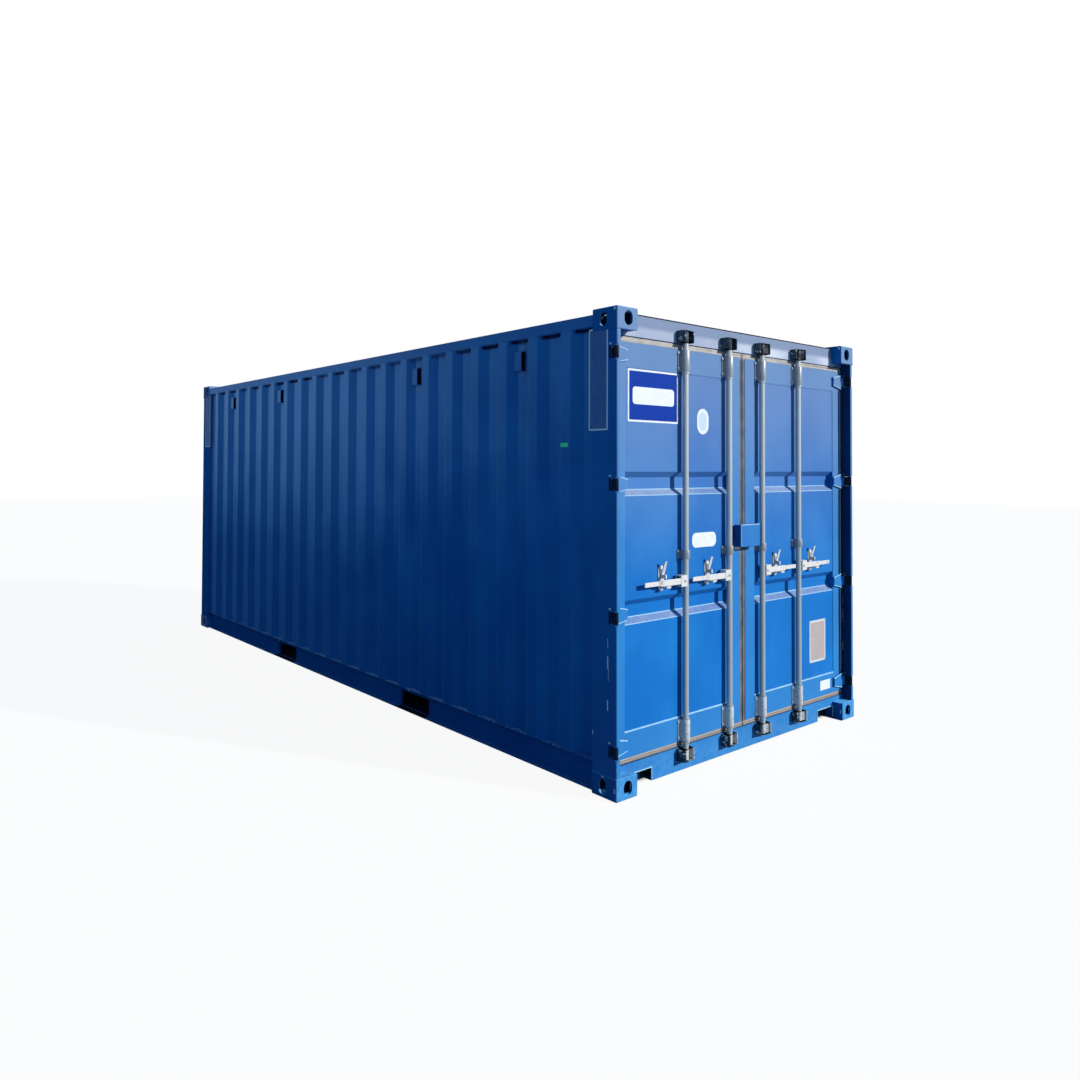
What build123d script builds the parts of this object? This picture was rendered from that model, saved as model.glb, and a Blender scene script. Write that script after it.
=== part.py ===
from build123d import *
import os
from math import cos, floor, radians, sin, tan

os.makedirs("parts", exist_ok=True)

# A general purpose freight container, 20 feet long.
# X runs across it, Y along it and Z up. The doors are at the -Y end.
# "Left" is -X and "right" is +X, as seen by someone who faces the doors.

# Overall size over the corner castings
length = 6058.0
width = 2438.0
height = 2591.0

# Corner castings
casting_length = 178.0
casting_width = 162.0
casting_height = 118.0
casting_plate = 28.0
casting_end_wall = 16.0
casting_side_wall = 13.0
casting_inner_wall = 10.0
casting_edge_radius = 10.0
casting_inner_edge_radius = 3.0
base_slot_length = 124.5
base_slot_width = 63.5
base_slot_from_side = 89.0
base_slot_from_end = 101.5
face_slot_height = 79.5
end_slot_width = 63.5
side_slot_width = 51.0

# How far the frame and the sheets stay behind the faces of the castings
frame_setback = 4.0
sheet_setback = 6.0

# Posts
post_steel = 6.0
post_bend_radius = 9.0
rear_post_lip = 28.0
rear_post_recess = 127.0
rear_channel_steel = 12.0
rear_channel_width = 45.0
front_post_width = 150.0
front_post_return = 46.0

# Underframe
underframe_clearance = 15.0
rail_steel = 4.5
bottom_rail_height = 162.0
bottom_rail_flange = 48.0
cross_member_height = 124.0
cross_member_flange = 45.0
cross_member_steel = 4.0
cross_member_pitch = 290.0
floor_thickness = 28.0
floor_edge_gap = 1.0

# Fork pockets
fork_pocket_width = 360.0
fork_pocket_height = 115.0
fork_pocket_spacing = 2050.0
fork_pocket_shift = -50.0
fork_pocket_steel = 4.5
fork_strap_length = 200.0

# Side walls, with trapezium corrugations that run up and down
side_wall_steel = 1.6
side_wall_depth = 36.0
side_wall_crest = 72.0
side_wall_slope = 68.0
side_wall_valley = 70.0
side_wall_least_margin = 90.0

# Blind end wall
front_wall_steel = 2.0
front_wall_depth = 45.6
front_wall_crest = 110.0
front_wall_slope = 18.0
front_wall_valley = 104.0
front_wall_least_margin = 100.0
front_setback = 8.0

# Top frame and roof
top_rail_size = 60.0
roof_drop = 31.0
roof_steel = 2.0
roof_ridge_height = 20.0
roof_ridge_top = 91.0
roof_ridge_slope = 13.5
roof_ridge_valley = 91.0
roof_ridge_side_margin = 85.0
roof_ridge_least_margin = 130.0

# Door frame
door_frame_setback = 73.0
header_drop = 138.0
door_header_height = 125.0
header_gutter_width = 40.0
header_gutter_slope = 18.0
sill_lip_height = 147.0
sill_floor_lap = 9.0
sill_notch_length = 200.0
sill_notch_height = 75.0
sill_notch_depth = 55.0

# Door leaves
leaf_face_setback = 75.0
leaf_thickness = 50.0
leaf_side_gap = 14.0
leaf_centre_gap = 27.0
leaf_top_gap = 33.0
leaf_bottom_gap = 31.0
stile_width = 100.0
leaf_rail_height = 140.0
door_sheet = 2.0
door_sheet_setback = 4.0
door_channel_depth = 36.0
door_channel_flat = 66.0
door_channel_slope = 32.0
door_channel_ratios = (0.347, 0.657)

# Door seal
seal_setback = 2.0
seal_depth = 28.0
seal_gap = 2.0
seal_joint = 0.5

# Door hinges
hinge_pin_inset = 16.0
hinge_side_inset = 13.0
hinge_pin_radius = 8.0
hinge_pin_clearance = 0.4
hinge_knuckle_radius = 13.0
hinge_blade_steel = 12.0
hinge_blade_height = 64.0
hinge_blade_reach = 134.0
hinge_lug_steel = 9.0
hinge_lug_gap = 1.0
hinge_notch_reach = 45.0
hinge_notch_overlap = 1.0
hinge_end_inset = 73.0
hinge_rows = 4

# Locking gear
rod_radius = 17.0
rod_standoff = 26.0
rod_offsets = {"inner": 173.0, "outer": 590.0}
bracket_clearance = 0.4
bracket_steel = 7.0
bracket_base = 6.0
bracket_width = 84.0
end_bracket_height = 120.0
middle_bracket_height = 48.0
middle_bracket_centre = 1245.0
collar_radius = 21.5
collar_height = 10.0
collar_gap = 1.5
cam_radius = 44.0
cam_front_angle = 35.0
cam_back_angle = 15.0
cam_height = 56.0
cam_facets = 6
keeper_base = 6.0
keeper_width = 109.0
keeper_height = 68.0
keeper_steel = 9.0
keeper_gap = 1.5
keeper_hook_angle = 42.0
keeper_inset = 3.0

# Handles, their retainers and the lock box
handle_height = 1098.0
hub_start = 12.0
hub_end = 66.0
hub_height = 64.0
hub_front = 6.0
hub_back = 1.0
hub_clearance = 0.3
handle_steel = 8.0
handle_inset = 2.0
handle_root_height = 34.0
handle_tip_height = 25.0
handle_length = 364.0
handle_overlap = 20.0
handle_joggle = 8.0
handle_joggle_start = 222.0
handle_joggle_end = 248.0
retainer_offset = 183.0
retainer_base = 5.0
retainer_top_radius = 26.0
retainer_top_rise = 66.0
retainer_low_radius = 21.0
retainer_low_drop = 27.0
retainer_hole_radius = 6.0
retainer_reach = 60.0
retainer_steel = 6.0
retainer_shelf_width = 36.0
retainer_clearance = 5.0
retainer_lip = 4.0
retainer_ear_rise = 44.0
retainer_ear_reach = 40.0
retainer_ear_steel = 10.0
catch_width = 22.0
catch_head_width = 18.0
catch_height = 96.0
catch_lean = 30.0
lock_box_width = 196.0
lock_box_left_gap = 13.5
lock_box_height = 134.0
lock_box_depth = 63.0
lock_box_offset = -6.0
lock_box_centre = 1326.0
lock_box_steel = 5.0
tongue_centre = 1268.0
tongue_width = 58.0
tongue_reach = 46.0
tongue_steel = 8.0
tongue_hole_radius = 8.0
tongue_base = 5.0

# Ventilators, high in four corrugations of each side, counted from its ends
vent_valleys_from_end = (1, 5)
vent_width = 64.0
vent_height = 118.0
vent_depth = 34.0
vent_drop = 188.0
vent_flange_steel = 2.0
vent_flange_height = 190.0
vent_chamfer = 12.0

# Planes that several pieces share
side_x = width / 2
end_y = length / 2
post_x = side_x - frame_setback
post_y = end_y - frame_setback
crest_x = side_x - sheet_setback
casting_in_x = side_x - casting_width
casting_in_y = end_y - casting_length
casting_top = height - casting_height
rail_top = underframe_clearance + bottom_rail_height
rail_web_x = crest_x - bottom_rail_flange
member_top = underframe_clearance + cross_member_height
floor_top = member_top + floor_thickness
roof_base = height - roof_drop
top_rail_base = roof_base - top_rail_size
lip_x = post_x - rear_post_lip
recess_y = -(post_y - rear_post_recess)
frame_y = -(end_y - door_frame_setback)
header_lower_edge = height - header_drop
header_top = header_lower_edge + door_header_height
leaf_y = -(end_y - leaf_face_setback)
leaf_out_x = lip_x - leaf_side_gap
leaf_in_x = leaf_centre_gap
leaf_top = header_lower_edge - leaf_top_gap
leaf_bottom = sill_lip_height + leaf_bottom_gap
leaf_height = leaf_top - leaf_bottom
pin_x = post_x - hinge_side_inset
pin_y = -(post_y - hinge_pin_inset)
rod_y = leaf_y - rod_standoff
front_y = end_y - front_setback


side_wall_pitch = side_wall_crest + 2 * side_wall_slope + side_wall_valley
front_wall_pitch = front_wall_crest + 2 * front_wall_slope + front_wall_valley
roof_ridge_pitch = roof_ridge_top + 2 * roof_ridge_slope + roof_ridge_valley
wall_length = 2 * casting_in_y


# How many waves of a sheet fit between its two least end margins
def waves(run, pitch, valley, least_margin):
    return floor((run - 2 * least_margin + valley) / pitch)


side_wall_crests = waves(wall_length, side_wall_pitch, side_wall_valley, side_wall_least_margin)


# Shapes that are used many times

def block(x0, x1, y0, y1, z0, z1):
    middle = Pos((x0 + x1) / 2, (y0 + y1) / 2, (z0 + z1) / 2)
    return middle * Box(x1 - x0, y1 - y0, z1 - z0)


def upright(outline, z0, z1):
    face = Polygon(*outline, align=None)
    return Pos(0, 0, z0) * extrude(face, amount=z1 - z0, dir=(0, 0, 1))


def along_x(outline, x0, x1):
    face = Plane.YZ * Polygon(*outline, align=None)
    return Pos(x0, 0, 0) * extrude(face, amount=x1 - x0, dir=(1, 0, 0))


def along_y(outline, y0, y1):
    face = Plane.XZ * Polygon(*outline, align=None)
    return Pos(0, y0, 0) * extrude(face, amount=y1 - y0, dir=(0, 1, 0))


def round_bar(x, y, radius, z0, z1):
    return Pos(x, y, (z0 + z1) / 2) * Cylinder(radius, z1 - z0)


def to_left(shape):
    return mirror(shape, about=Plane.YZ)


def to_front(shape):
    return mirror(shape, about=Plane.XZ)


def to_top(shape):
    return mirror(shape, about=Plane.XY.offset(height / 2))


def group(shapes):
    solids = []
    for shape in shapes:
        solids.extend(shape.solids())
    return Compound(solids)


# A line moved sideways by a steel thickness, with mitred corners
def offset_line(points, distance):
    normals = []
    for (s0, t0), (s1, t1) in zip(points, points[1:]):
        run = ((s1 - s0) ** 2 + (t1 - t0) ** 2) ** 0.5
        normals.append((-(t1 - t0) / run, (s1 - s0) / run))
    before = [normals[0]] + normals
    after = normals + [normals[-1]]
    moved = []
    for (s, t), (a, b), (c, d) in zip(points, before, after):
        scale = distance / (1 + a * c + b * d)
        moved.append((s + scale * (a + c), t + scale * (b + d)))
    return moved


def strip(points, distance):
    return points + offset_line(points, distance)[::-1]


# The line of a corrugated sheet: it starts and ends in a valley at level 0,
# and the same margin is left at both ends
def corrugation(start, end, crests, crest, slope, valley, depth):
    pitch = crest + 2 * slope + valley
    margin = (end - start - crests * pitch + valley) / 2
    points = [(start, 0)]
    for number in range(crests):
        foot = start + margin + number * pitch
        points.append((foot, 0))
        points.append((foot + slope, depth))
        points.append((foot + slope + crest, depth))
        points.append((foot + 2 * slope + crest, 0))
    points.append((end, 0))
    return points


# The edges nearest to the corner of the container
def outermost(edges, number):
    return edges.sort_by(lambda edge: edge.center().X + edge.center().Y)[-number:]


# Corner castings: hollow, with an oval hole in the base, the end and the side. Their outer edges are
# round, and less so beside the posts that stand on them.

def bottom_casting():
    body = block(casting_in_x, side_x, casting_in_y, end_y, 0, casting_height)
    outer_edges = outermost(body.edges(), 5)
    body = fillet([edge for edge in outer_edges if edge.center().Z < casting_height], casting_edge_radius)
    body = fillet(outermost(body.faces().sort_by(Axis.Z)[-1].edges(), 3), casting_inner_edge_radius)
    cavity = block(casting_in_x + casting_inner_wall, side_x - casting_side_wall,
                   casting_in_y + casting_inner_wall, end_y - casting_end_wall,
                   casting_plate, casting_height - casting_inner_wall)
    base = Pos(side_x - base_slot_from_side, end_y - base_slot_from_end, 0)
    base_slot = extrude(base * Rot(0, 0, 90) * SlotOverall(base_slot_length, base_slot_width),
                        amount=casting_plate)
    middle_z = casting_height / 2
    end_face = Plane((side_x - base_slot_from_side, end_y, middle_z), x_dir=(0, 0, 1), z_dir=(0, -1, 0))
    end_slot = extrude(end_face * SlotOverall(face_slot_height, end_slot_width),
                       amount=casting_end_wall)
    side_face = Plane((side_x, end_y - base_slot_from_end, middle_z), x_dir=(0, 0, 1), z_dir=(-1, 0, 0))
    side_slot = extrude(side_face * SlotOverall(face_slot_height, side_slot_width),
                        amount=casting_side_wall)
    return body - cavity - base_slot - end_slot - side_slot


def four_corners(shape):
    pair = [shape, to_left(shape)]
    return pair + [to_front(piece) for piece in pair]


# Rear corner post: a pressed outer section around a door recess, closed by an inner channel.
# The pins of the hinges pass through lugs that sit in notches of its outer corner.

def rear_post():
    outer_line = [(post_x, -casting_in_y), (post_x, -post_y), (lip_x, -post_y), (lip_x, recess_y)]
    shell = upright(strip(outer_line, -post_steel), casting_height, casting_top)
    corner = shell.edges().filter_by(Axis.Z).sort_by(lambda e: e.center().X - e.center().Y)[-1:]
    shell = fillet(corner, post_bend_radius)
    inside_x = post_x - post_steel
    channel_line = [(inside_x, recess_y), (inside_x - rear_channel_width + post_steel, recess_y),
                    (inside_x - rear_channel_width + post_steel, -casting_in_y), (inside_x, -casting_in_y)]
    channel = upright(strip(channel_line, -rear_channel_steel), casting_height, casting_top)
    post = shell + channel
    for z in hinge_heights():
        post = post - hinge_notch(z) + hinge_lugs(z)
    return post


def hinge_heights():
    low = leaf_bottom + hinge_end_inset
    high = leaf_top - hinge_end_inset
    return [low + (high - low) * row / (hinge_rows - 1) for row in range(hinge_rows)]


def hinge_notch(z):
    half = hinge_blade_height / 2 + hinge_lug_gap + hinge_lug_steel
    return block(lip_x - hinge_notch_overlap, side_x, -end_y, pin_y + hinge_notch_reach, z - half, z + half)


def hinge_lugs(z):
    inner = hinge_blade_height / 2 + hinge_lug_gap
    outline = [(post_x, pin_y + hinge_notch_reach), (post_x, -post_y + post_bend_radius),
               (post_x - post_bend_radius, -post_y), (lip_x, -post_y), (lip_x, pin_y + hinge_notch_reach)]
    upper = upright(outline, z + inner, z + inner + hinge_lug_steel)
    lower = upright(outline, z - inner - hinge_lug_steel, z - inner)
    hole = round_bar(pin_x, pin_y, hinge_pin_radius + hinge_pin_clearance, z - 2 * inner, z + 2 * inner)
    return upper + lower - hole


def front_post():
    line = [(rail_web_x, casting_in_y), (post_x, casting_in_y), (post_x, post_y),
            (post_x - front_post_width, post_y), (post_x - front_post_width, post_y - front_post_return)]
    post = upright(strip(line, post_steel), casting_height, casting_top)
    return fillet(outermost(post.edges().filter_by(Axis.Z), 1), post_bend_radius)


# Frame around the doors

def door_header():
    cover_top = roof_base + rail_steel
    gutter_y = frame_y + header_gutter_width
    line = [(recess_y, header_lower_edge), (frame_y, header_lower_edge), (frame_y, header_top),
            (gutter_y, header_top), (gutter_y + header_gutter_slope, cover_top),
            (-casting_in_y, cover_top)]
    beam = along_x(strip(line, -rail_steel), -casting_in_x, casting_in_x)
    low_line = [(recess_y, header_lower_edge), (frame_y, header_lower_edge), (frame_y, casting_top)]
    low = along_x(strip(low_line, -rail_steel), -lip_x, lip_x)
    closing = block(-casting_in_x, casting_in_x, recess_y - rail_steel, recess_y,
                    header_lower_edge, roof_base)
    return beam + low + closing


def door_sill():
    line = [(-casting_in_y, underframe_clearance), (frame_y, underframe_clearance),
            (frame_y, sill_lip_height), (frame_y + leaf_thickness, sill_lip_height),
            (-casting_in_y - sill_floor_lap, floor_top), (-casting_in_y, floor_top)]
    sill = along_x(strip(line, -rail_steel), -casting_in_x, casting_in_x)
    step = along_x([(frame_y, casting_height), (frame_y + rail_steel, casting_height),
                    (frame_y + rail_steel, sill_lip_height - rail_steel),
                    (recess_y, sill_lip_height - rail_steel), (recess_y, sill_lip_height),
                    (frame_y, sill_lip_height)], -lip_x, lip_x)
    sill = sill + step
    notch_top = underframe_clearance + sill_notch_height
    for side in (-1, 1):
        inner = side * (casting_in_x - sill_notch_length)
        outer = side * casting_in_x
        low, high = min(inner, outer), max(inner, outer)
        sill = sill - block(low, high, -end_y, frame_y + sill_notch_depth, 0, notch_top)
        sill = sill + sill_pocket(low, high, notch_top)
    return sill


# The steel channel behind a notch in the sill
def sill_pocket(low, high, notch_top):
    line = [(frame_y, notch_top), (frame_y + sill_notch_depth, notch_top),
            (frame_y + sill_notch_depth, underframe_clearance)]
    return along_x(strip(line, rail_steel), low, high)


def cam_keeper(x, z):
    face = frame_y
    y = rod_y
    base = block(x - keeper_width / 2, x + keeper_width / 2, face - keeper_base, face,
                 z - keeper_height / 2, z + keeper_height / 2)
    inner = cam_radius + keeper_gap
    outer = inner + keeper_steel
    ring = Pos(x, y) * (Circle(outer) - Circle(inner))
    drop = outer * tan(radians(keeper_hook_angle))
    wedge = Polygon((x, y), (x + outer, y), (x + outer, y - drop), align=None)
    hook = Pos(0, 0, z - keeper_height / 2) * extrude(ring & wedge, amount=keeper_height)
    near_wall = block(x + inner, x + outer, y, face, z - keeper_height / 2, z + keeper_height / 2)
    far_wall = block(x - outer, x - inner, y - cam_radius / 2, face,
                     z - keeper_height / 2, z + keeper_height / 2)
    return base + hook + near_wall + far_wall


# Underframe

def bottom_side_rail():
    edge_x = rail_web_x + bottom_rail_flange
    line = [(edge_x, underframe_clearance), (rail_web_x, underframe_clearance),
            (rail_web_x, rail_top), (edge_x, rail_top)]
    rail = along_y(strip(line, -rail_steel), -casting_in_y, casting_in_y)
    for y in fork_pocket_centres():
        rail = rail - block(0, side_x, y - fork_pocket_width / 2, y + fork_pocket_width / 2,
                            underframe_clearance + rail_steel, fork_pocket_top())
    return rail


def fork_pocket_centres():
    half = fork_pocket_spacing / 2
    return (fork_pocket_shift - half, fork_pocket_shift + half)


def fork_pocket_top():
    return underframe_clearance + rail_steel + fork_pocket_height


def fork_pocket(y):
    half = fork_pocket_width / 2
    line = [(y - half, underframe_clearance), (y - half, fork_pocket_top()),
            (y + half, fork_pocket_top()), (y + half, underframe_clearance)]
    end = rail_web_x
    tunnel = along_x(strip(line, fork_pocket_steel), -end, end)
    for x0, x1 in ((-end, -end + fork_strap_length), (end - fork_strap_length, end)):
        tunnel = tunnel + block(x0, x1, y - half, y + half, underframe_clearance,
                                underframe_clearance + fork_pocket_steel)
    return tunnel


def cross_member(y):
    line = [(y + cross_member_flange, underframe_clearance), (y, underframe_clearance),
            (y, member_top), (y + cross_member_flange, member_top)]
    return along_x(strip(line, -cross_member_steel), -rail_web_x, rail_web_x)


def cross_members():
    low = -casting_in_y
    high = front_y - top_rail_size
    number = floor((high - low) / cross_member_pitch)
    reach = fork_pocket_width / 2 + fork_pocket_steel
    members = []
    for index in range(1, number + 1):
        y = low + (high - low) * index / (number + 1)
        blocked = False
        for centre in fork_pocket_centres():
            if centre - reach - cross_member_flange < y < centre + reach:
                blocked = True
        if not blocked:
            members.append(cross_member(y))
    return group(members)


def floor_deck():
    edge = rail_web_x - floor_edge_gap
    deck_end = front_y - top_rail_size
    return block(-edge, edge, -casting_in_y, deck_end, member_top, floor_top)


def front_sill():
    line = [(front_y - top_rail_size, underframe_clearance), (front_y, underframe_clearance),
            (front_y, rail_top), (front_y - top_rail_size, rail_top)]
    return along_x(strip(line, rail_steel), -casting_in_x, casting_in_x)


# Walls, top rails and roof

def side_wall():
    valley_x = crest_x - side_wall_depth
    line = corrugation(-casting_in_y, casting_in_y, side_wall_crests, side_wall_crest,
                       side_wall_slope, side_wall_valley, side_wall_depth)
    outline = [(valley_x + level, y) for y, level in strip(line, -side_wall_steel)]
    return upright(outline, rail_top, top_rail_base)


def front_wall():
    valley_y = front_y - front_wall_depth
    edge = post_x - front_post_width
    crests = waves(2 * edge, front_wall_pitch, front_wall_valley, front_wall_least_margin)
    line = corrugation(-edge, edge, crests, front_wall_crest,
                       front_wall_slope, front_wall_valley, front_wall_depth)
    outline = [(x, valley_y + level) for x, level in strip(line, -front_wall_steel)]
    wall = upright(outline, rail_top, top_rail_base)
    beside = block(casting_in_x, side_x, casting_in_y, end_y, casting_top, height)
    return wall - beside - to_left(beside)


def top_side_rail():
    return block(post_x - top_rail_size, post_x, -casting_in_y, casting_in_y,
                 top_rail_base, roof_base)


def front_header():
    beam = block(-casting_in_x, casting_in_x, front_y - top_rail_size, front_y,
                 top_rail_base, roof_base)
    cover = block(-casting_in_x, casting_in_x, casting_in_y, front_y,
                  roof_base, roof_base + roof_steel)
    return beam + cover


# Roof sheet with pressed ridges that run across it
def roof():
    sheet = block(-post_x, post_x, -casting_in_y, casting_in_y, roof_base, roof_base + roof_steel)
    number_of_ridges = waves(wall_length, roof_ridge_pitch, roof_ridge_valley, roof_ridge_least_margin)
    ridges = []
    for number in range(number_of_ridges):
        y = (number - (number_of_ridges - 1) / 2) * roof_ridge_pitch
        ridges.append(roof_ridge(y))
    raised = Compound(ridges)
    return sheet + raised - Pos(0, 0, -roof_steel) * raised


def roof_ridge(y):
    base_y = roof_ridge_top + 2 * roof_ridge_slope
    base_x = 2 * (post_x - roof_ridge_side_margin)
    foot = Pos(0, y, roof_base + roof_steel) * Rectangle(base_x, base_y)
    crown = Pos(0, y, roof_base + roof_steel + roof_ridge_height) * Rectangle(
        base_x - 2 * roof_ridge_slope, roof_ridge_top)
    return loft([foot.face(), crown.face()])


# Ventilator: a hooded box on a flange in a valley of the side wall
def side_vent(number):
    y = (number - (side_wall_crests - 2) / 2) * side_wall_pitch
    valley_x = crest_x - side_wall_depth
    vent_centre = roof_base - vent_drop
    flange = block(valley_x, valley_x + vent_flange_steel, y - vent_width / 2, y + vent_width / 2,
                   vent_centre - vent_flange_height / 2, vent_centre + vent_flange_height / 2)
    half = vent_height / 2
    hood = along_y([(valley_x, vent_centre - half), (valley_x + vent_depth, vent_centre - half),
                    (valley_x + vent_depth, vent_centre + half - vent_chamfer),
                    (valley_x + vent_depth - vent_chamfer, vent_centre + half),
                    (valley_x, vent_centre + half)], y - vent_width / 2, y + vent_width / 2)
    return flange + hood


# Door leaf, drawn on the right and mirrored to the left

def leaf_frame():
    low, high = leaf_y, leaf_y + leaf_thickness
    frame = block(leaf_in_x, leaf_out_x, low, high, leaf_bottom, leaf_top)
    return frame - block(leaf_in_x + stile_width, leaf_out_x - stile_width, low, high,
                         leaf_bottom + leaf_rail_height, leaf_top - leaf_rail_height)


def leaf_sheet():
    level = leaf_y + door_sheet_setback
    line = [(leaf_bottom + leaf_rail_height, level)]
    for ratio in door_channel_ratios:
        z = leaf_bottom + ratio * leaf_height
        half = door_channel_flat / 2
        line.append((z - half - door_channel_slope, level))
        line.append((z - half, level + door_channel_depth))
        line.append((z + half, level + door_channel_depth))
        line.append((z + half + door_channel_slope, level))
    line.append((leaf_top - leaf_rail_height, level))
    outline = [(y, z) for z, y in strip(line, door_sheet)]
    return along_x(outline, leaf_in_x + stile_width, leaf_out_x - stile_width)


def leaf_seal():
    y0 = leaf_y + seal_setback
    y1 = y0 + seal_depth
    low = sill_lip_height + seal_gap
    high = header_lower_edge - seal_gap
    out = lip_x - seal_gap
    hinge_side = block(leaf_out_x, out, y0, y1, low, high)
    centre_side = block(seal_gap, leaf_in_x, y0, y1, low, high)
    top = block(leaf_in_x + seal_joint, leaf_out_x - seal_joint, y0, y1, leaf_top, high)
    bottom = block(leaf_in_x + seal_joint, leaf_out_x - seal_joint, y0, y1, low, leaf_bottom)
    return group([hinge_side, centre_side, top, bottom])


def leaf_hinge(z):
    half = hinge_blade_height / 2
    blade_x = leaf_out_x - hinge_blade_steel / 2
    blade_y = leaf_y - hinge_blade_steel / 2
    blade = block(pin_x - hinge_blade_reach, blade_x, leaf_y - hinge_blade_steel, leaf_y,
                  z - half, z + half)
    heel = Pos(blade_x, blade_y) * Circle(hinge_blade_steel / 2)
    knuckle = Pos(pin_x, pin_y) * Circle(hinge_knuckle_radius)
    arm = Pos(0, 0, z - half) * extrude(make_hull(heel.edges() + knuckle.edges()), amount=2 * half)
    pin_half = half + hinge_lug_gap + hinge_lug_steel
    pin = round_bar(pin_x, pin_y, hinge_pin_radius, z - pin_half, z + pin_half)
    return blade + arm + pin


def rod_bracket(x, seat_y, z0, z1):
    outer = rod_radius + bracket_clearance + bracket_steel
    sleeve = Pos(x, rod_y) * Circle(outer) + Pos(x, (rod_y + seat_y) / 2) * Rectangle(
        2 * outer, seat_y - rod_y)
    base = Pos(x, seat_y - bracket_base / 2) * Rectangle(bracket_width, bracket_base)
    section = sleeve + base - Pos(x, rod_y) * Circle(rod_radius + bracket_clearance)
    return Pos(0, 0, z0) * extrude(section, amount=z1 - z0)


def rod_brackets():
    pieces = []
    top_rail_z = leaf_top - leaf_rail_height / 2
    bottom_rail_z = leaf_bottom + leaf_rail_height / 2
    for x in rod_offsets.values():
        for z in (bottom_rail_z, top_rail_z):
            pieces.append(rod_bracket(x, leaf_y, z - end_bracket_height / 2, z + end_bracket_height / 2))
        pieces.append(rod_bracket(x, leaf_y + door_sheet_setback,
                                  middle_bracket_centre - middle_bracket_height / 2,
                                  middle_bracket_centre + middle_bracket_height / 2))
    return group(pieces)


# Retainer: a plate with rounded ends, a shelf that the handle rests on, and a catch that is turned up
def handle_retainer(x):
    face = leaf_y + door_sheet_setback
    plane = Plane((x, face - retainer_base, handle_height), x_dir=(1, 0, 0), z_dir=(0, -1, 0))
    top = Pos(0, retainer_top_rise) * Circle(retainer_top_radius)
    low = Pos(0, -retainer_low_drop) * Circle(retainer_low_radius)
    outline = make_hull(top.edges() + low.edges())
    for y in (retainer_top_rise, -retainer_low_drop):
        outline = outline - Pos(0, y) * Circle(retainer_hole_radius)
    base = extrude(plane * outline, amount=retainer_base, dir=(0, 1, 0))
    half = handle_root_height / 2 + retainer_clearance
    front = face - retainer_reach
    shelf_z = handle_height - half
    shelf = block(x - retainer_shelf_width / 2, x + retainer_shelf_width / 2, front, face - retainer_base,
                  shelf_z - retainer_steel, shelf_z)
    lip = block(x - retainer_shelf_width / 2, x + retainer_shelf_width / 2, front, front + retainer_lip,
                shelf_z, shelf_z + retainer_lip)
    ear_z = handle_height + half
    ear = block(x - retainer_ear_steel / 2, x + retainer_ear_steel / 2, face - retainer_ear_reach,
                face - retainer_base, ear_z, handle_height + retainer_ear_rise)
    return base + shelf + lip + ear + retainer_catch(x, face - retainer_base, ear_z)


def retainer_catch(x, plate_front, low):
    y = plate_front - retainer_steel / 2
    foot = Pos(x, y, low) * Rectangle(catch_width, retainer_steel)
    head = Pos(x, y - catch_lean, low + catch_height) * Rectangle(catch_head_width, retainer_steel)
    return loft([foot.face(), head.face()])


# Locking bar with a cam at both ends, and its handle

def cam(x, z):
    lobe_points = [(x, rod_y)]
    span = cam_front_angle + cam_back_angle
    for facet in range(cam_facets + 1):
        angle = radians(-cam_front_angle + span * facet / cam_facets)
        lobe_points.append((x + cam_radius * cos(angle), rod_y + cam_radius * sin(angle)))
    hub = Pos(x, rod_y) * Circle(rod_radius)
    section = hub + Polygon(*lobe_points, align=None)
    return Pos(0, 0, z - cam_height / 2) * extrude(section, amount=cam_height)


def lock_rod(x):
    bottom_z, top_z = keeper_centres()
    bar = round_bar(x, rod_y, rod_radius, bottom_z - cam_height / 2, top_z + cam_height / 2)
    for z in collar_heights():
        bar = bar + round_bar(x, rod_y, collar_radius, z, z + collar_height)
    return bar + cam(x, bottom_z) + cam(x, top_z)


# Collars sit just clear of the ends of the long brackets
def collar_heights():
    half = end_bracket_height / 2
    low_z = leaf_bottom + leaf_rail_height / 2
    high_z = leaf_top - leaf_rail_height / 2
    return (low_z - half - collar_gap - collar_height, low_z + half + collar_gap,
            high_z - half - collar_gap - collar_height)


def keeper_centres():
    bottom_z = sill_lip_height - keeper_inset - keeper_height / 2
    top_z = header_lower_edge + keeper_inset + keeper_height / 2
    return bottom_z, top_z


# The hub is a block on the side of the bar that its handle points to
def lock_handle(x):
    half = hub_height / 2
    front = rod_y - rod_radius - hub_front
    hub = block(x + hub_start, x + hub_end, front, rod_y + rod_radius + hub_back,
                handle_height - half, handle_height + half)
    bore = round_bar(x, rod_y, rod_radius + hub_clearance, handle_height - hub_height,
                     handle_height + hub_height)
    level = front + handle_inset
    line = [(x + hub_end - handle_overlap, level), (x + handle_joggle_start, level),
            (x + handle_joggle_end, level + handle_joggle), (x + handle_length, level + handle_joggle)]
    bar = upright(strip(line, handle_steel), handle_height - handle_root_height / 2,
                  handle_height + handle_root_height / 2)
    return hub - bore + (bar & handle_side_view(x))


# The outline of the handle's bar from the front: high at its root and lower at its tip
def handle_side_view(x):
    root = handle_root_height / 2
    tip = handle_tip_height / 2
    outline = [(x, -root), (x + handle_joggle_start, -root), (x + handle_joggle_end, -tip),
               (x + handle_length, -tip), (x + handle_length, tip), (x + handle_joggle_end, tip),
               (x + handle_joggle_start, root), (x, root)]
    plane = Plane((0, rod_y - hub_end, handle_height), x_dir=(1, 0, 0), z_dir=(0, -1, 0))
    return extrude(plane * Polygon(*outline, align=None), amount=2 * hub_end, dir=(0, 1, 0))


# Lock box on the right leaf, open below and towards the doors, and the tongue on the left leaf

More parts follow.
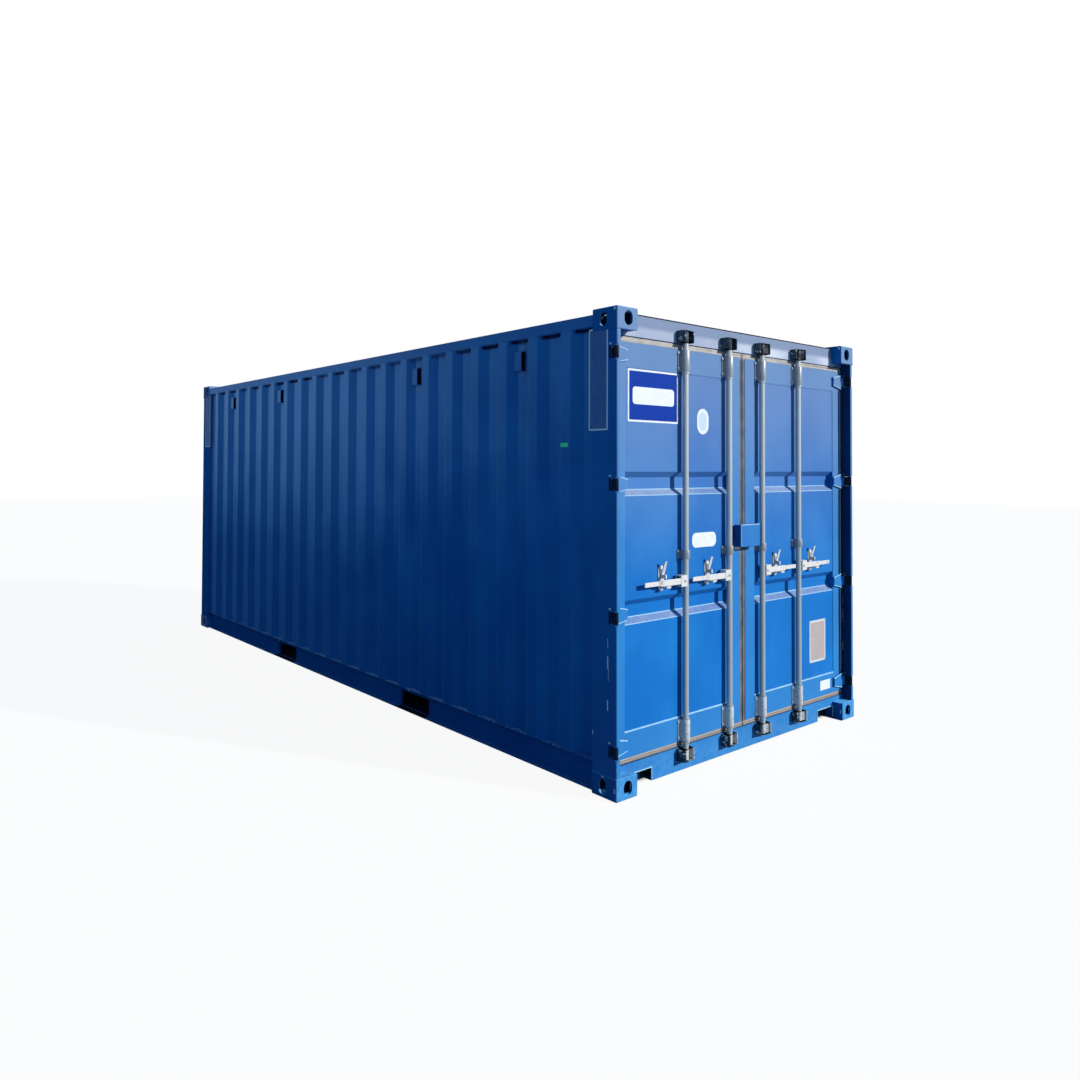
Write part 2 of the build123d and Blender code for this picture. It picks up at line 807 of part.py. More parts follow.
def lock_box():
    x0 = lock_box_offset - lock_box_width / 2
    x1 = lock_box_offset + lock_box_width / 2
    z0 = lock_box_centre - lock_box_height / 2
    z1 = lock_box_centre + lock_box_height / 2
    front = leaf_y - lock_box_depth
    box = block(x0, x1, front, leaf_y, z0, z1)
    inside = block(x0 + lock_box_steel, x1 - lock_box_steel, front + lock_box_steel, leaf_y,
                   z0, z1 - lock_box_steel)
    left_part = block(x0, leaf_in_x, leaf_y - lock_box_left_gap, leaf_y, z0, z1)
    return box - inside - left_part


def lock_tongue():
    x1 = -leaf_in_x - lock_box_steel
    x0 = x1 - tongue_width
    z = tongue_centre
    base = block(x0, x1, leaf_y - tongue_base, leaf_y, z - tongue_width / 2, z + tongue_width / 2)
    shelf = block(x0, x1, leaf_y - tongue_reach, leaf_y, z - tongue_steel / 2, z + tongue_steel / 2)
    hole = round_bar((x0 + x1) / 2, leaf_y - tongue_reach / 2, tongue_hole_radius,
                     z - tongue_width, z + tongue_width)
    return base + shelf - hole


# The nodes, one file each

nodes = {}
casting = bottom_casting()
bottom_castings = four_corners(casting)
nodes["bottom_corner_castings"] = group(bottom_castings)
nodes["top_corner_castings"] = group([to_top(piece) for piece in bottom_castings])

right_rear_post = rear_post()
nodes["rear_corner_post_right"] = right_rear_post
nodes["rear_corner_post_left"] = to_left(right_rear_post)
right_front_post = front_post()
nodes["front_corner_post_right"] = right_front_post
nodes["front_corner_post_left"] = to_left(right_front_post)

nodes["door_header"] = door_header()
nodes["door_sill"] = door_sill()
keepers = []
for offset in rod_offsets.values():
    for keeper_z in keeper_centres():
        keeper = cam_keeper(offset, keeper_z)
        keepers.extend([keeper, to_left(keeper)])
nodes["cam_keepers"] = group(keepers)

right_bottom_rail = bottom_side_rail()
nodes["bottom_side_rail_right"] = right_bottom_rail
nodes["bottom_side_rail_left"] = to_left(right_bottom_rail)
nodes["cross_members"] = cross_members()
nodes["fork_pockets"] = group([fork_pocket(y) for y in fork_pocket_centres()])
nodes["floor_deck"] = floor_deck()
nodes["front_sill"] = front_sill()

right_wall = side_wall()
nodes["side_wall_right"] = right_wall
nodes["side_wall_left"] = to_left(right_wall)
nodes["front_wall"] = front_wall()
right_top_rail = top_side_rail()
nodes["top_side_rail_right"] = right_top_rail
nodes["top_side_rail_left"] = to_left(right_top_rail)
nodes["front_header"] = front_header()
nodes["roof_sheet"] = roof()
vent_numbers = list(vent_valleys_from_end)
vent_numbers += [side_wall_crests - 2 - number for number in vent_valleys_from_end]
right_vents = [side_vent(number) for number in vent_numbers]
nodes["side_vents"] = group(right_vents + [to_left(vent) for vent in right_vents])

leaf_pieces = {
    "door_frame": leaf_frame(),
    "door_sheet": leaf_sheet(),
    "door_seal": leaf_seal(),
    "door_hinges": group([leaf_hinge(z) for z in hinge_heights()]),
    "rod_brackets": rod_brackets(),
    "handle_retainers": group([handle_retainer(x + retainer_offset) for x in rod_offsets.values()]),
}
for name, piece in leaf_pieces.items():
    nodes[name + "_right"] = piece
    nodes[name + "_left"] = to_left(piece)
for place, offset in rod_offsets.items():
    rod = lock_rod(offset)
    handle = lock_handle(offset)
    nodes["lock_rod_right_" + place] = rod
    nodes["lock_rod_left_" + place] = to_left(rod)
    nodes["lock_handle_right_" + place] = handle
    nodes["lock_handle_left_" + place] = to_left(handle)
nodes["lock_box"] = lock_box()
nodes["lock_tongue"] = lock_tongue()

for name, shape in nodes.items():
    export_step(shape, "parts/" + name + ".step")
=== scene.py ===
import bmesh
import bpy
import numpy as np
from math import cos, pi, radians, sin
from mathutils import Matrix, Vector


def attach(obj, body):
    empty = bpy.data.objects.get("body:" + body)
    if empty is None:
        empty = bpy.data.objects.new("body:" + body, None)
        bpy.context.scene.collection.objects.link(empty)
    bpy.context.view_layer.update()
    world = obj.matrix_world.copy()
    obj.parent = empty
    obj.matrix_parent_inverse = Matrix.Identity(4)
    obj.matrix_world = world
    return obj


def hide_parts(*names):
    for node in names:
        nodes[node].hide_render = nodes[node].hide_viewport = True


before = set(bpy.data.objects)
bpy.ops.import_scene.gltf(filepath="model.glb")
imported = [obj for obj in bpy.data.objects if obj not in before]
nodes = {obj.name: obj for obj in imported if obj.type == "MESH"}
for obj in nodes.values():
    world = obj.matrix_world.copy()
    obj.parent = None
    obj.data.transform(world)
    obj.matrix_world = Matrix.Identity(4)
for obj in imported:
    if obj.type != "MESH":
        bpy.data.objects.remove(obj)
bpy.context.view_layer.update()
print("frame loaded:", len(nodes), "nodes")

# Metres, with the doors at the -Y end: bars from the middle, heights of the hinges, and the planes
# that pieces lie on
sides = (("left", -1), ("right", 1))
rods = (("inner", 0.173), ("outer", 0.590))
hingeRows = (0.251, 0.9497, 1.6483, 2.347)
doorFace = -2.954
sheetFace = -2.950
sillFace = -2.956
postFace = 1.215
crestFace = 1.213


# Shader kit

class Shade:
    # A number, colour or vector inside a material; sums and products of numbers add Math nodes
    def __init__(self, finish, socket):
        self.finish = finish
        self.socket = socket

    def join(self, operation, first, second):
        return self.finish.node("Math", {"operation": operation}, {0: first, 1: second})

    def __add__(self, other):
        return self.join("ADD", self, other)

    def __radd__(self, other):
        return self.join("ADD", other, self)

    def __sub__(self, other):
        return self.join("SUBTRACT", self, other)

    def __rsub__(self, other):
        return self.join("SUBTRACT", other, self)

    def __mul__(self, other):
        return self.join("MULTIPLY", self, other)

    def __rmul__(self, other):
        return self.join("MULTIPLY", other, self)

    def __abs__(self):
        return self.join("ABSOLUTE", self, 0)


class Finish:
    # One material or sky, and the few kinds of step that the finishes below are made of
    def __init__(self, name, tree=None):
        if tree is None:
            self.material = bpy.data.materials.new(name)
            self.material.use_nodes = True
            tree = self.material.node_tree
        self.tree = tree
        self.tree.nodes.clear()
        self.place = self.node("TexCoord", output="Object")

    # Any node: its settings come first, then the values or links of its sockets
    def node(self, kind, settings=None, sockets=None, output=0):
        made = self.tree.nodes.new("ShaderNode" + kind)
        for key, value in (settings or {}).items():
            setattr(made, key, value)
        for key, value in (sockets or {}).items():
            if isinstance(value, Shade):
                self.tree.links.new(value.socket, made.inputs[key])
            else:
                made.inputs[key].default_value = value
        return Shade(self, made.outputs[output]) if made.outputs else None

    # The place along one axis
    def along(self, axis):
        return self.node("SeparateXYZ", sockets={"Vector": self.place}, output=axis)

    # How far the surface turns towards one axis
    def facing(self, axis):
        normal = self.node("TexCoord", output="Normal")
        return self.node("SeparateXYZ", sockets={"Vector": normal}, output=axis)

    # Cloud noise, whose place may be stretched and moved
    def noise(self, scale, detail=3, stretch=(1, 1, 1), shift=(0, 0, 0)):
        place = self.node("Mapping", sockets={"Vector": self.place, "Scale": stretch,
                                              "Location": shift})
        return self.node("TexNoise", sockets={"Vector": place, "Scale": scale, "Detail": detail})

    # One number for each cell of a pattern of cells
    def cells(self, scale):
        colour = self.node("TexVoronoi", sockets={"Vector": self.place, "Scale": scale},
                           output="Color")
        return self.node("SeparateColor", sockets={"Color": colour}, output="Red")

    # A soft step from 0 at low to 1 at high
    def fade(self, value, low, high):
        return self.node("MapRange", {"interpolation_type": "SMOOTHSTEP"},
                         {"Value": value, "From Min": low, "From Max": high})

    # 1 inside a band of the value, with soft edges
    def band(self, value, low, high, edge):
        above = self.fade(value, low - edge, low + edge)
        return above * (1 - self.fade(value, high - edge, high + edge))

    # 1 inside a box, given by its spans of distance across, along and up from the middle
    def inBox(self, spans, middle=(0, 0, 0), edge=0.001):
        inside = 1.0
        for axis, centre, (low, high) in zip("XYZ", middle, spans):
            inside = self.band(abs(self.along(axis) - centre), low, high, edge) * inside
        return inside

    # The first colour, with a share of the second over it
    def mix(self, factor, first, second):
        return self.node("Mix", {"data_type": "RGBA"}, {0: factor, 6: first, 7: second}, 2)

    # The surface itself: height is in metres and becomes a bump
    def surface(self, colour, roughness, metallic=0.0, specular=0.5, height=None):
        sockets = {"Base Color": colour, "Roughness": roughness, "Metallic": metallic,
                   "Specular IOR Level": specular}
        if height is not None:
            sockets["Normal"] = self.node("Bump", sockets={"Height": height, "Distance": 1.0})
        shader = self.node("BsdfPrincipled", sockets=sockets)
        self.node("OutputMaterial", sockets={"Surface": shader})
        return self.material


# Blue paint over steel. Its colour is the deep paint, cleared in places by cloud noise. Faces
# towards the doors' end have a thin film of road salt and are bleached more with height. Other
# faces get painted shade, more of it towards the ground, and the walls get a painted sky
# reflection, stronger high up and far along. Rain leaves thin upright streaks, dust lies on what
# looks up, scraped marks are worn pale, creases are worn pale and painted as a highlight, grimy
# places also hold painted shade, and small chips go down to primer and rust.
paint = {
    "deep": (0.008, 0.155, 0.490, 1),
    "clear": (0.014, 0.200, 0.560, 1),
    "film": (0.100, 0.370, 0.610, 1),
    "bleached": (0.265, 0.312, 0.425, 1),
    "paintedShade": (0.001, 0.030, 0.170, 1),
    "paintedSky": (0.300, 0.600, 0.960, 1),
    "dust": (0.280, 0.520, 0.740, 1),
    "beige dust": (0.600, 0.580, 0.560, 1),
    # Paler sky blue dust on the castings' tops, partly a painted skylight
    "dust with painted skylight": (0.150, 0.520, 0.900, 1),
    "worn": (0.460, 0.690, 0.800, 1),
    "scraped": (0.900, 0.960, 1.000, 1),
    "glare": (0.780, 0.800, 0.860, 1),
    "shadow": (0.001, 0.010, 0.070, 1),
    "primer": (0.240, 0.230, 0.220, 1),
    "rust": (0.160, 0.055, 0.018, 1),
    "grimeAndShade": (0.0015, 0.0040, 0.0120, 1),
    # Metres: the orange peel's height, a chip's depth, half a worn crease's width and its soft edge
    "peel": 0.00005,
    "chip": 0.0002,
    "crease": 0.0025,
    "creaseEdge": 0.001,
}

# Where each kind of weather, painted shade and painted sky reflection starts and where it is full:
# heights, places along the box, turns of a face towards the doors or upwards, and levels of noise
weatherAndLight = {
    "clouds": (0.35, 0.70), "washed": (0.50, 0.78), "grit": (0.30, 0.72), "spread": (0.50, 0.68),
    "chips": (0.735, 0.75), "cores": (0.765, 0.78),
    "bleached": (0.95, 2.70), "dark": (0.15, 2.30), "upper": (1.20, 2.85), "splashed": (0.16, 0.40),
    "farther": (-3.0, 0.9), "distant": (-1.5, 2.6),
    "sunward": (-0.15, -0.80), "aside": (-0.10, -0.35), "upward": (0.35, 0.85),
}
# How fine each noise is, in cells per metre
noiseScales = {"clouds": 1.7, "washed": 9, "grit": 38, "splashed": 3.1, "chips": 52, "spread": 1.9,
               "peel": 190, "wave": 2.6, "grain": 60}
# Shares of the painted sky reflection: lost on slopes towards the doors, given by distance alone,
# and given high up
paintedSkyShares = {"slopes": 0.72, "distant": 0.26, "near": 0.20, "farther": 0.75}


def bluePaint(name, bleach=0.0, film=0.0, paintedShade=0.0, paintedSky=0.0, dust=0.5, streak=0.10, chip=0.3,
              rough=0.42, polish=0.0, specular=0.04, wave=0.0, grain=0.0, settled="dust", marks=(),
              wearAndHighlightCreases=(), grimeAndShadePits=(), paintedLightAndWear=()):
    finish = Finish(name)
    height = finish.along("Z")

    # A soft step between the two ends of one kind of weather, painted shade and painted reflection
    # alike
    def rise(value, kind):
        return finish.fade(value, *weatherAndLight[kind])

    clouds = rise(finish.noise(noiseScales["clouds"], 5), "clouds")
    colour = finish.mix(clouds, paint["deep"], paint["clear"])
    washed = rise(finish.noise(noiseScales["washed"], 4, stretch=(1, 1, 0.045)), "washed")
    towardsSun = rise(finish.facing("Y"), "sunward")
    colour = finish.mix(towardsSun * film + washed * streak, colour, paint["film"])
    high = rise(height + 0.20 * clouds, "bleached")
    colour = finish.mix(towardsSun * bleach * high, colour, paint["bleached"])
    # Painted shade: faces turned away from the sun get the dark blue, more of it towards the ground
    low = 1 - rise(height + 0.15 * clouds, "dark")
    colour = finish.mix((1 - towardsSun) * (paintedShade + 0.28 * low), colour, paint["paintedShade"])
    farther = rise(finish.along("Y"), "farther")
    upper = rise(height + 0.20 * clouds + 0.45 * farther, "upper")
    # Painted sky reflection on the walls: a paler sky blue, more high up and far along, less on
    # slopes towards the doors
    if paintedSky:
        away = 1 - rise(finish.facing("Y"), "aside") * paintedSkyShares["slopes"]
        distant = rise(finish.along("Y"), "distant") * away * paintedSkyShares["distant"]
        colour = finish.mix(distant * paintedSky, colour, paint["paintedSky"])
        share = upper * away * (paintedSkyShares["near"] + paintedSkyShares["farther"] * farther)
        colour = finish.mix(share * paintedSky, colour, paint["paintedSky"])
    grit = rise(finish.noise(noiseScales["grit"], 6), "grit")
    upward = rise(finish.facing("Z"), "upward") * (0.55 + 0.45 * clouds)
    splashed = 1 - rise(height + 0.25 * finish.noise(noiseScales["splashed"], 3), "splashed")
    dusty = (upward * (0.60 + 0.40 * grit) + splashed * towardsSun * grit * 0.25) * dust
    colour = finish.mix(dusty, colour, paint[settled])
    # Painted shadow, painted glare and worn places of another tone
    for spans, middle, edge, strength, tone in paintedLightAndWear:
        pale = finish.inBox(spans, middle, edge) * (0.35 + 0.65 * clouds) * strength
        colour = finish.mix(pale, colour, paint[tone])
    # Creases on faces towards the doors' end: worn pale and a painted highlight
    for crease in wearAndHighlightCreases:
        ends = crease - paint["crease"], crease + paint["crease"]
        worn = finish.band(height, *ends, paint["creaseEdge"]) * 0.85 * towardsSun
        colour = finish.mix(worn, colour, paint["worn"])
    for mark in marks:
        colour = finish.mix(gouge(finish, mark), colour, paint["scraped"])
    specks = finish.noise(noiseScales["chips"], 3, shift=(5, 8, 1))
    spread = rise(finish.noise(noiseScales["spread"], 3, shift=(2, 6, 4)), "spread")
    chips = rise(specks, "chips") * spread * chip
    cores = rise(specks, "cores") * spread * chip
    colour = finish.mix(chips, colour, paint["primer"])
    colour = finish.mix(cores, colour, paint["rust"])
    # Grime and painted shade in hollows, recesses, notches and under the box
    for spans, middle in grimeAndShadePits:
        colour = finish.mix(finish.inBox(spans, middle) * 0.96, colour, paint["grimeAndShade"])
    shape = finish.noise(noiseScales["peel"], 1) * paint["peel"] - chips * paint["chip"]
    if wave:
        shape = shape + finish.noise(noiseScales["wave"], 1) * wave
    if grain:
        shape = shape + finish.noise(noiseScales["grain"], 4) * grain
    roughness = rough + 0.25 * dusty + 0.06 * clouds - upper * polish
    return finish.surface(colour, roughness, specular=specular, height=shape)


# A scraped place: a box around its middle with noisy edges, thin across and long downwards
def gouge(finish, mark):
    (y, z), (halfY, halfZ), strength = mark
    rough = finish.noise(45, 4, shift=(y, z, 1)) - 0.5
    alongY = finish.fade(abs(finish.along("Y") + rough * halfY * 1.6 - y), halfY * 0.55, halfY)
    alongZ = finish.fade(abs(finish.along("Z") + rough * halfZ * 0.7 - z), halfZ * 0.8, halfZ)
    return (1 - alongY) * (1 - alongZ) * finish.fade(rough, -0.20, -0.04) * strength


# Hot dip zinc: cells of spangle in two greys, darker towards the ground, brown dirt in patches, a
# cream crust of old paint below chalkBelow and dark grease above the given height, which is also
# painted shade. Flecks of chalk lie on the lower keepers, most of them on the +X side of each bar,
# where they are also a painted highlight of the sunlit side.
zinc = {
    "dirt": (0.130, 0.110, 0.090, 1),
    "greaseAndShade": (0.010, 0.015, 0.024, 1),
    "chalk": (0.660, 0.665, 0.640, 1),
    "spangle": 95,
    "rods": [way * x for _, way in sides for _, x in rods],
    "paintedHighlightBand": (0.004, 0.052),
    "grain": 0.00003,
}


def galvanised(name, light, dark, metallic=0.5, rough=0.36, specular=0.5, greaseAndShadeFrom=None,
               chalkBelow=None, dirt=0.3, spangles=0.35, grain=1.0, specks=0.0):
    finish = Finish(name)
    spangle = finish.cells(zinc["spangle"])
    height = finish.along("Z")
    streaks = finish.fade(finish.noise(16, 4, stretch=(1, 1, 0.1)), 0.40, 0.75)
    lower = 1 - finish.fade(height + 0.10 * streaks, 0.6, 2.1)
    share = spangles * spangle + 0.15 * streaks + 0.65 * lower
    share = finish.node("Math", {"operation": "MINIMUM"}, {0: share, 1: 1.0})
    colour = finish.mix(share, light, dark)
    stains = finish.fade(finish.noise(24, 5), 0.54, 0.76) * dirt
    metal = metallic - 0.3 * stains
    if chalkBelow:
        crust = (1 - finish.fade(height, chalkBelow - 0.006, chalkBelow + 0.006)) * 0.9
        colour = finish.mix(crust, colour, zinc["chalk"])
        metal = metal * (1 - crust)
        stains = stains + finish.fade(finish.noise(70, 4), 0.58, 0.66) * crust * 0.7
    colour = finish.mix(stains, colour, zinc["dirt"])
    if specks:
        more = 0.05 * lower
        near, far = zinc["paintedHighlightBand"]
        for place in zinc["rods"]:
            paintedHighlight = finish.band(finish.along("X"), place + near, place + far, 0.004)
            more = paintedHighlight * 0.20 * lower + more
        flecks = finish.fade(finish.noise(46, 4) + more, 0.60, 0.64) * specks
        colour = finish.mix(flecks, colour, zinc["chalk"])
    roughness = rough + 0.06 * spangle + 0.25 * stains
    # Grease and painted shade: the tops of the bars go near black
    if greaseAndShadeFrom:
        above = finish.fade(height + 0.02 * finish.noise(30, 3), greaseAndShadeFrom, greaseAndShadeFrom + 0.012)
        smear = above * (0.72 + 0.26 * finish.fade(finish.noise(20, 4), 0.35, 0.6))
        colour = finish.mix(smear, colour, zinc["greaseAndShade"])
        metal = metal * (1 - 0.9 * smear)
    shape = finish.noise(140, 2) * (zinc["grain"] * grain)
    return finish.surface(colour, roughness, metallic=metal, specular=specular, height=shape)


# Dusty rubber: grey in the middle of the doors, brown at their foot, a painted highlight along the
# upper edge of the foot, and chalky at their top
rubber = {
    "clean": (0.110, 0.125, 0.150, 1),
    "dusty": (0.200, 0.205, 0.215, 1),
    "foot": (0.330, 0.270, 0.230, 1),
    "chalk": (0.560, 0.500, 0.440, 1),
    "footEnds": (0.165, 0.195),
    "paintedHighlightLine": (0.171, 0.177),
    "topStarts": (2.400, 2.430),
}


def dustyRubber(name):
    finish = Finish(name)
    height = finish.along("Z")
    cloud = finish.fade(finish.noise(14, 5), 0.30, 0.68)
    colour = finish.mix(cloud, rubber["clean"], rubber["dusty"])
    foot = (1 - finish.fade(height, *rubber["footEnds"])) * (0.75 + 0.25 * cloud)
    colour = finish.mix(foot, colour, rubber["foot"])
    # Painted highlight along the upper edge of the foot seal
    crust = finish.band(height, *rubber["paintedHighlightLine"], 0.002) * 0.8
    colour = finish.mix(crust, colour, rubber["chalk"])
    top = finish.fade(height, *rubber["topStarts"]) * (0.70 + 0.30 * cloud)
    colour = finish.mix(top, colour, rubber["chalk"])
    shape = finish.noise(90, 3) * 0.0002
    return finish.surface(colour, 0.78 + 0.1 * cloud, specular=0.2, height=shape)


# Plywood: grain stretched along the length, darker growth lines, a seam at every board's end and a
# varnish that is worn in patches
plywood = {
    "light": (0.330, 0.190, 0.090, 1),
    "dark": (0.130, 0.062, 0.026, 1),
    "seam": (0.015, 0.010, 0.007, 1),
    "board": 1.22,
}


def varnishedPlywood(name):
    finish = Finish(name)
    grain = finish.noise(34, 6, stretch=(1, 0.05, 1))
    colour = finish.mix(finish.fade(grain, 0.30, 0.70), plywood["light"], plywood["dark"])
    worn = finish.fade(finish.noise(2.4, 4), 0.45, 0.70)
    half = plywood["board"] / 2
    board = finish.node("Math", {"operation": "PINGPONG"}, {0: finish.along("Y"), 1: half})
    seam = 1 - finish.fade(board, 0.0015, 0.0035)
    colour = finish.mix(seam, colour, plywood["seam"])
    shape = grain * 0.0003 - seam * 0.001
    return finish.surface(colour, 0.45 + 0.25 * worn, height=shape)


# Printed film, plastic or a metal plate: one colour with faint mottling, a little rougher there
def label(name, colour, shade, rough=0.45, metallic=0.0, specular=0.3):
    finish = Finish(name)
    mottle = finish.fade(finish.noise(30, 5), 0.35, 0.75)
    ground = finish.mix(mottle * 0.35, colour, shade)
    return finish.surface(ground, rough + 0.15 * mottle, metallic=metallic, specular=specular,
                          height=finish.noise(120, 2) * 0.00004)


# Scraped marks: place along and up, half the length and half the height, and strength
nearPost = [((-2.962, 0.714), (0.0048, 0.034), 1.0), ((-2.962, 0.491), (0.0048, 0.031), 1.0),
            ((-2.962, 0.816), (0.0030, 0.028), 0.8), ((-2.967, 0.660), (0.0026, 0.040), 0.6),
            ((-2.853, 0.325), (0.0050, 0.012), 0.9)]
nearPost += [((-2.976, z + 0.047), (0.0090, 0.005), 1.0) for z in hingeRows]
cornerNicks = (((-3.012, 2.575), (0.009, 0.009), 0.8), ((-3.015, 0.060), (0.005, 0.014), 0.7),
               ((-2.930, 0.112), (0.010, 0.004), 0.6))
# The long thin line along the rails' upper edge is a painted highlight; the other two are scrapes
railMarksAndHighlight = (((1.150, 0.152), (0.016, 0.010), 0.9), ((-1.000, 0.152), (0.016, 0.010), 0.9),
             ((0.0, 0.1750), (2.8, 0.0026), 0.3))
# Heights of the creases of the doors' channels, worn pale and painted as a highlight
channelWearAndHighlights = (0.891, 0.923, 1.586, 1.618)
# Grimy places that also hold painted shade, in hollows, recesses, notches and under the box: spans
# of distance across, along and up, from a middle
castingHollow = (((1.0660, 1.2065), (2.8600, 3.0135), (1.1870, 1.2680)), (0, 0, 1.2955))
postReturn = (((1.1000, 1.1874), (2.8000, 3.0225), (0.0000, 2.4000)), (0, 0, 1.2955))
hingeKnuckle = (((1.1720, 1.2300), (2.8500, 3.0400), (0.0000, 2.6000)), (0, 0, 0))
underframe = (((-0.0100, 1.1500), (-0.0100, 2.9000), (-0.0100, 0.1700)), (0, 0, 0))
sillPocket = (((0.8560, 1.0580), (2.8900, 2.9555), (0.0000, 0.0910)), (0, 0, 0))
headerEdge = (((-0.0100, 1.0640), (2.9000, 2.9700), (2.5705, 2.5900)), (0, 0, 0))
pocketLips = tuple((((1.1500, 1.2200), (-0.0100, 0.1790), (0.0000, 0.0290)), (0, y, 0))
                   for y in (-1.075, 0.975))
# Places of another tone: the same, then how soft the edge is, strength and tone. The dark band
# under the top rails is a painted shadow, the pale band on the header is painted glare, and the
# vents' flanges are worn pale.
paintedRailShadow = (((1.1600, 1.2010), (-0.0100, 2.8500), (2.4790, 2.5100)), (0, 0, 0),
             0.008, 1.3, "shadow")
headerGlare = (((-0.0100, 1.0900), (2.9400, 2.9700), (2.4500, 2.5080)), (0, 0, 0),
               0.016, 0.85, "glare")
ventFlange = (((1.1500, 1.1795), (-0.0100, 2.3000), (0.0640, 0.1000)), (0, 0, 2.372),
              0.001, 0.55, "worn")

finishes = {
    "wall": bluePaint("wall_paint", paintedShade=0.08, paintedSky=1.0, streak=0.05, dust=0.4, rough=0.70,
                      polish=0.44, specular=0.03, wave=0.0010, paintedLightAndWear=(paintedRailShadow,)),
    "rail": bluePaint("top_rail_paint", paintedShade=0.15, paintedSky=0.6, dust=0.5, chip=0.5),
    "frame": bluePaint("frame_paint", bleach=0.4, film=0.15, paintedShade=0.15, dust=0.3, chip=0.6,
                       rough=0.65, specular=0.01, marks=railMarksAndHighlight, grimeAndShadePits=pocketLips),
    "sill": bluePaint("sill_paint", bleach=0.4, film=0.25, paintedShade=0.20, chip=0.5,
                      grimeAndShadePits=(sillPocket,)),
    "post": bluePaint("post_paint", bleach=0.50, film=0.25, paintedShade=0.10, chip=0.5, marks=nearPost,
                      grimeAndShadePits=(postReturn,)),
    # The header's strong bleach is partly painted glare
    "header": bluePaint("header_paint", bleach=0.95, film=0.25, paintedShade=0.15, chip=0.3,
                        grimeAndShadePits=(headerEdge,), paintedLightAndWear=(headerGlare,)),
    "door": bluePaint("door_paint", bleach=0.55, streak=0.03, dust=0.62, chip=0.15, specular=0.05,
                      wave=0.0008, settled="beige dust", wearAndHighlightCreases=channelWearAndHighlights),
    "box": bluePaint("lock_box_paint", bleach=0.50, film=0.12, paintedShade=0.45, chip=0.4),
    "leaf": bluePaint("leaf_frame_paint", bleach=0.55, film=0.25, streak=0.05, chip=0.25,
                      specular=0.05),
    "hinge": bluePaint("hinge_paint", bleach=0.55, film=0.25, chip=0.5, grimeAndShadePits=(hingeKnuckle,)),
    "casting": bluePaint("casting_paint", bleach=0.6, film=0.45, paintedShade=0.25, dust=1.7, chip=0.8,
                         rough=0.5, grain=0.0006, settled="dust with painted skylight", marks=cornerNicks,
                         grimeAndShadePits=(castingHollow,)),
    "roof": bluePaint("roof_paint", dust=0.8, chip=0.4, wave=0.0016),
    "inside": bluePaint("underframe_wax", paintedShade=0.60, dust=0.2, chip=0.6, rough=0.6,
                        grimeAndShadePits=(underframe,)),
    "vent": bluePaint("vent_paint", paintedShade=0.30, paintedSky=0.85, dust=0.6, streak=0.0, chip=0.0,
                      rough=0.35, paintedLightAndWear=(ventFlange,)),
    "rod": galvanised("galvanised_rod", (0.500, 0.550, 0.560, 1), (0.320, 0.370, 0.400, 1),
                      metallic=0.25, rough=0.30, specular=0.2, greaseAndShadeFrom=2.452,
                      chalkBelow=0.150, dirt=0.10, spangles=0.08, grain=0.0),
    "bracket": galvanised("galvanised_bracket", (0.330, 0.365, 0.395, 1), (0.190, 0.230, 0.270, 1),
                          metallic=0.30, rough=0.34, chalkBelow=0.320),
    "handle": galvanised("galvanised_handle", (0.800, 0.780, 0.740, 1), (0.640, 0.620, 0.590, 1),
                         metallic=0.15, rough=0.45, dirt=0.5),
    # The keepers' near black is partly grease and partly painted shade
    "keeper": galvanised("galvanised_keeper", (0.050, 0.085, 0.120, 1), (0.012, 0.035, 0.060, 1),
                         metallic=0.1, rough=0.55, specular=0.1, dirt=0.3, grain=3.0, specks=0.85),
    "rubber": dustyRubber("seal_rubber"),
    "floor": varnishedPlywood("floor_plywood"),
    "slat": label("vent_slat", (0.004, 0.014, 0.050, 1), (0.002, 0.007, 0.030, 1), rough=0.8,
                  specular=0.0),
    "openingAndShade": label("vent_opening", (0.002, 0.003, 0.006, 1), (0.001, 0.002, 0.004, 1), rough=0.9,
                  specular=0.0),
    # Pale beads painted as a highlight of lit edges
    "seam": label("seam_highlight_paint", (0.440, 0.680, 0.800, 1), (0.120, 0.340, 0.600, 1), specular=0.1),
    "white": label("white_film", (0.860, 0.870, 0.880, 1), (0.640, 0.660, 0.680, 1)),
    "pale": label("pale_film", (0.920, 0.960, 1.000, 1), (0.760, 0.840, 0.920, 1), specular=0.05),
    "blue": label("blue_film", (0.006, 0.045, 0.340, 1), (0.004, 0.030, 0.260, 1), specular=0.05),
    "green": label("green_tag", (0.050, 1.000, 0.400, 1), (0.040, 0.850, 0.320, 1)),
    "plate": label("metal_plate", (0.640, 0.660, 0.680, 1), (0.500, 0.520, 0.540, 1), metallic=0.2),
    "film": label("strip_film", (0.075, 0.185, 0.440, 1), (0.045, 0.160, 0.420, 1), specular=0.1),
    "mist": label("printed_film", (0.560, 0.700, 0.840, 1), (0.700, 0.780, 0.860, 1), specular=0.1),
    "beige": label("plate_field", (0.480, 0.400, 0.370, 1), (0.600, 0.510, 0.470, 1), specular=0.1),
}

# The finish of each node, by its name or by how its name starts
nodeFinish = {
    "bottom_corner_castings": "casting", "top_corner_castings": "casting",
    "rear_corner_post_left": "post", "rear_corner_post_right": "post",
    "door_header": "header", "door_sill": "sill", "cam_keepers": "keeper",
    "side_wall_left": "wall", "side_wall_right": "wall", "front_wall": "wall",
    "roof_sheet": "roof", "side_vents": "vent", "floor_deck": "floor",
    "top_side_rail_left": "rail", "top_side_rail_right": "rail", "cross_members": "inside",
    "fork_pockets": "inside", "lock_box": "box", "lock_tongue": "bracket",
}
startFinish = {
    "door_seal": "rubber", "door_hinges": "hinge", "door_sheet": "door", "door_": "leaf",
    "rod_brackets": "bracket", "handle_retainers": "handle", "lock_rod": "rod",
    "lock_handle": "handle",
}

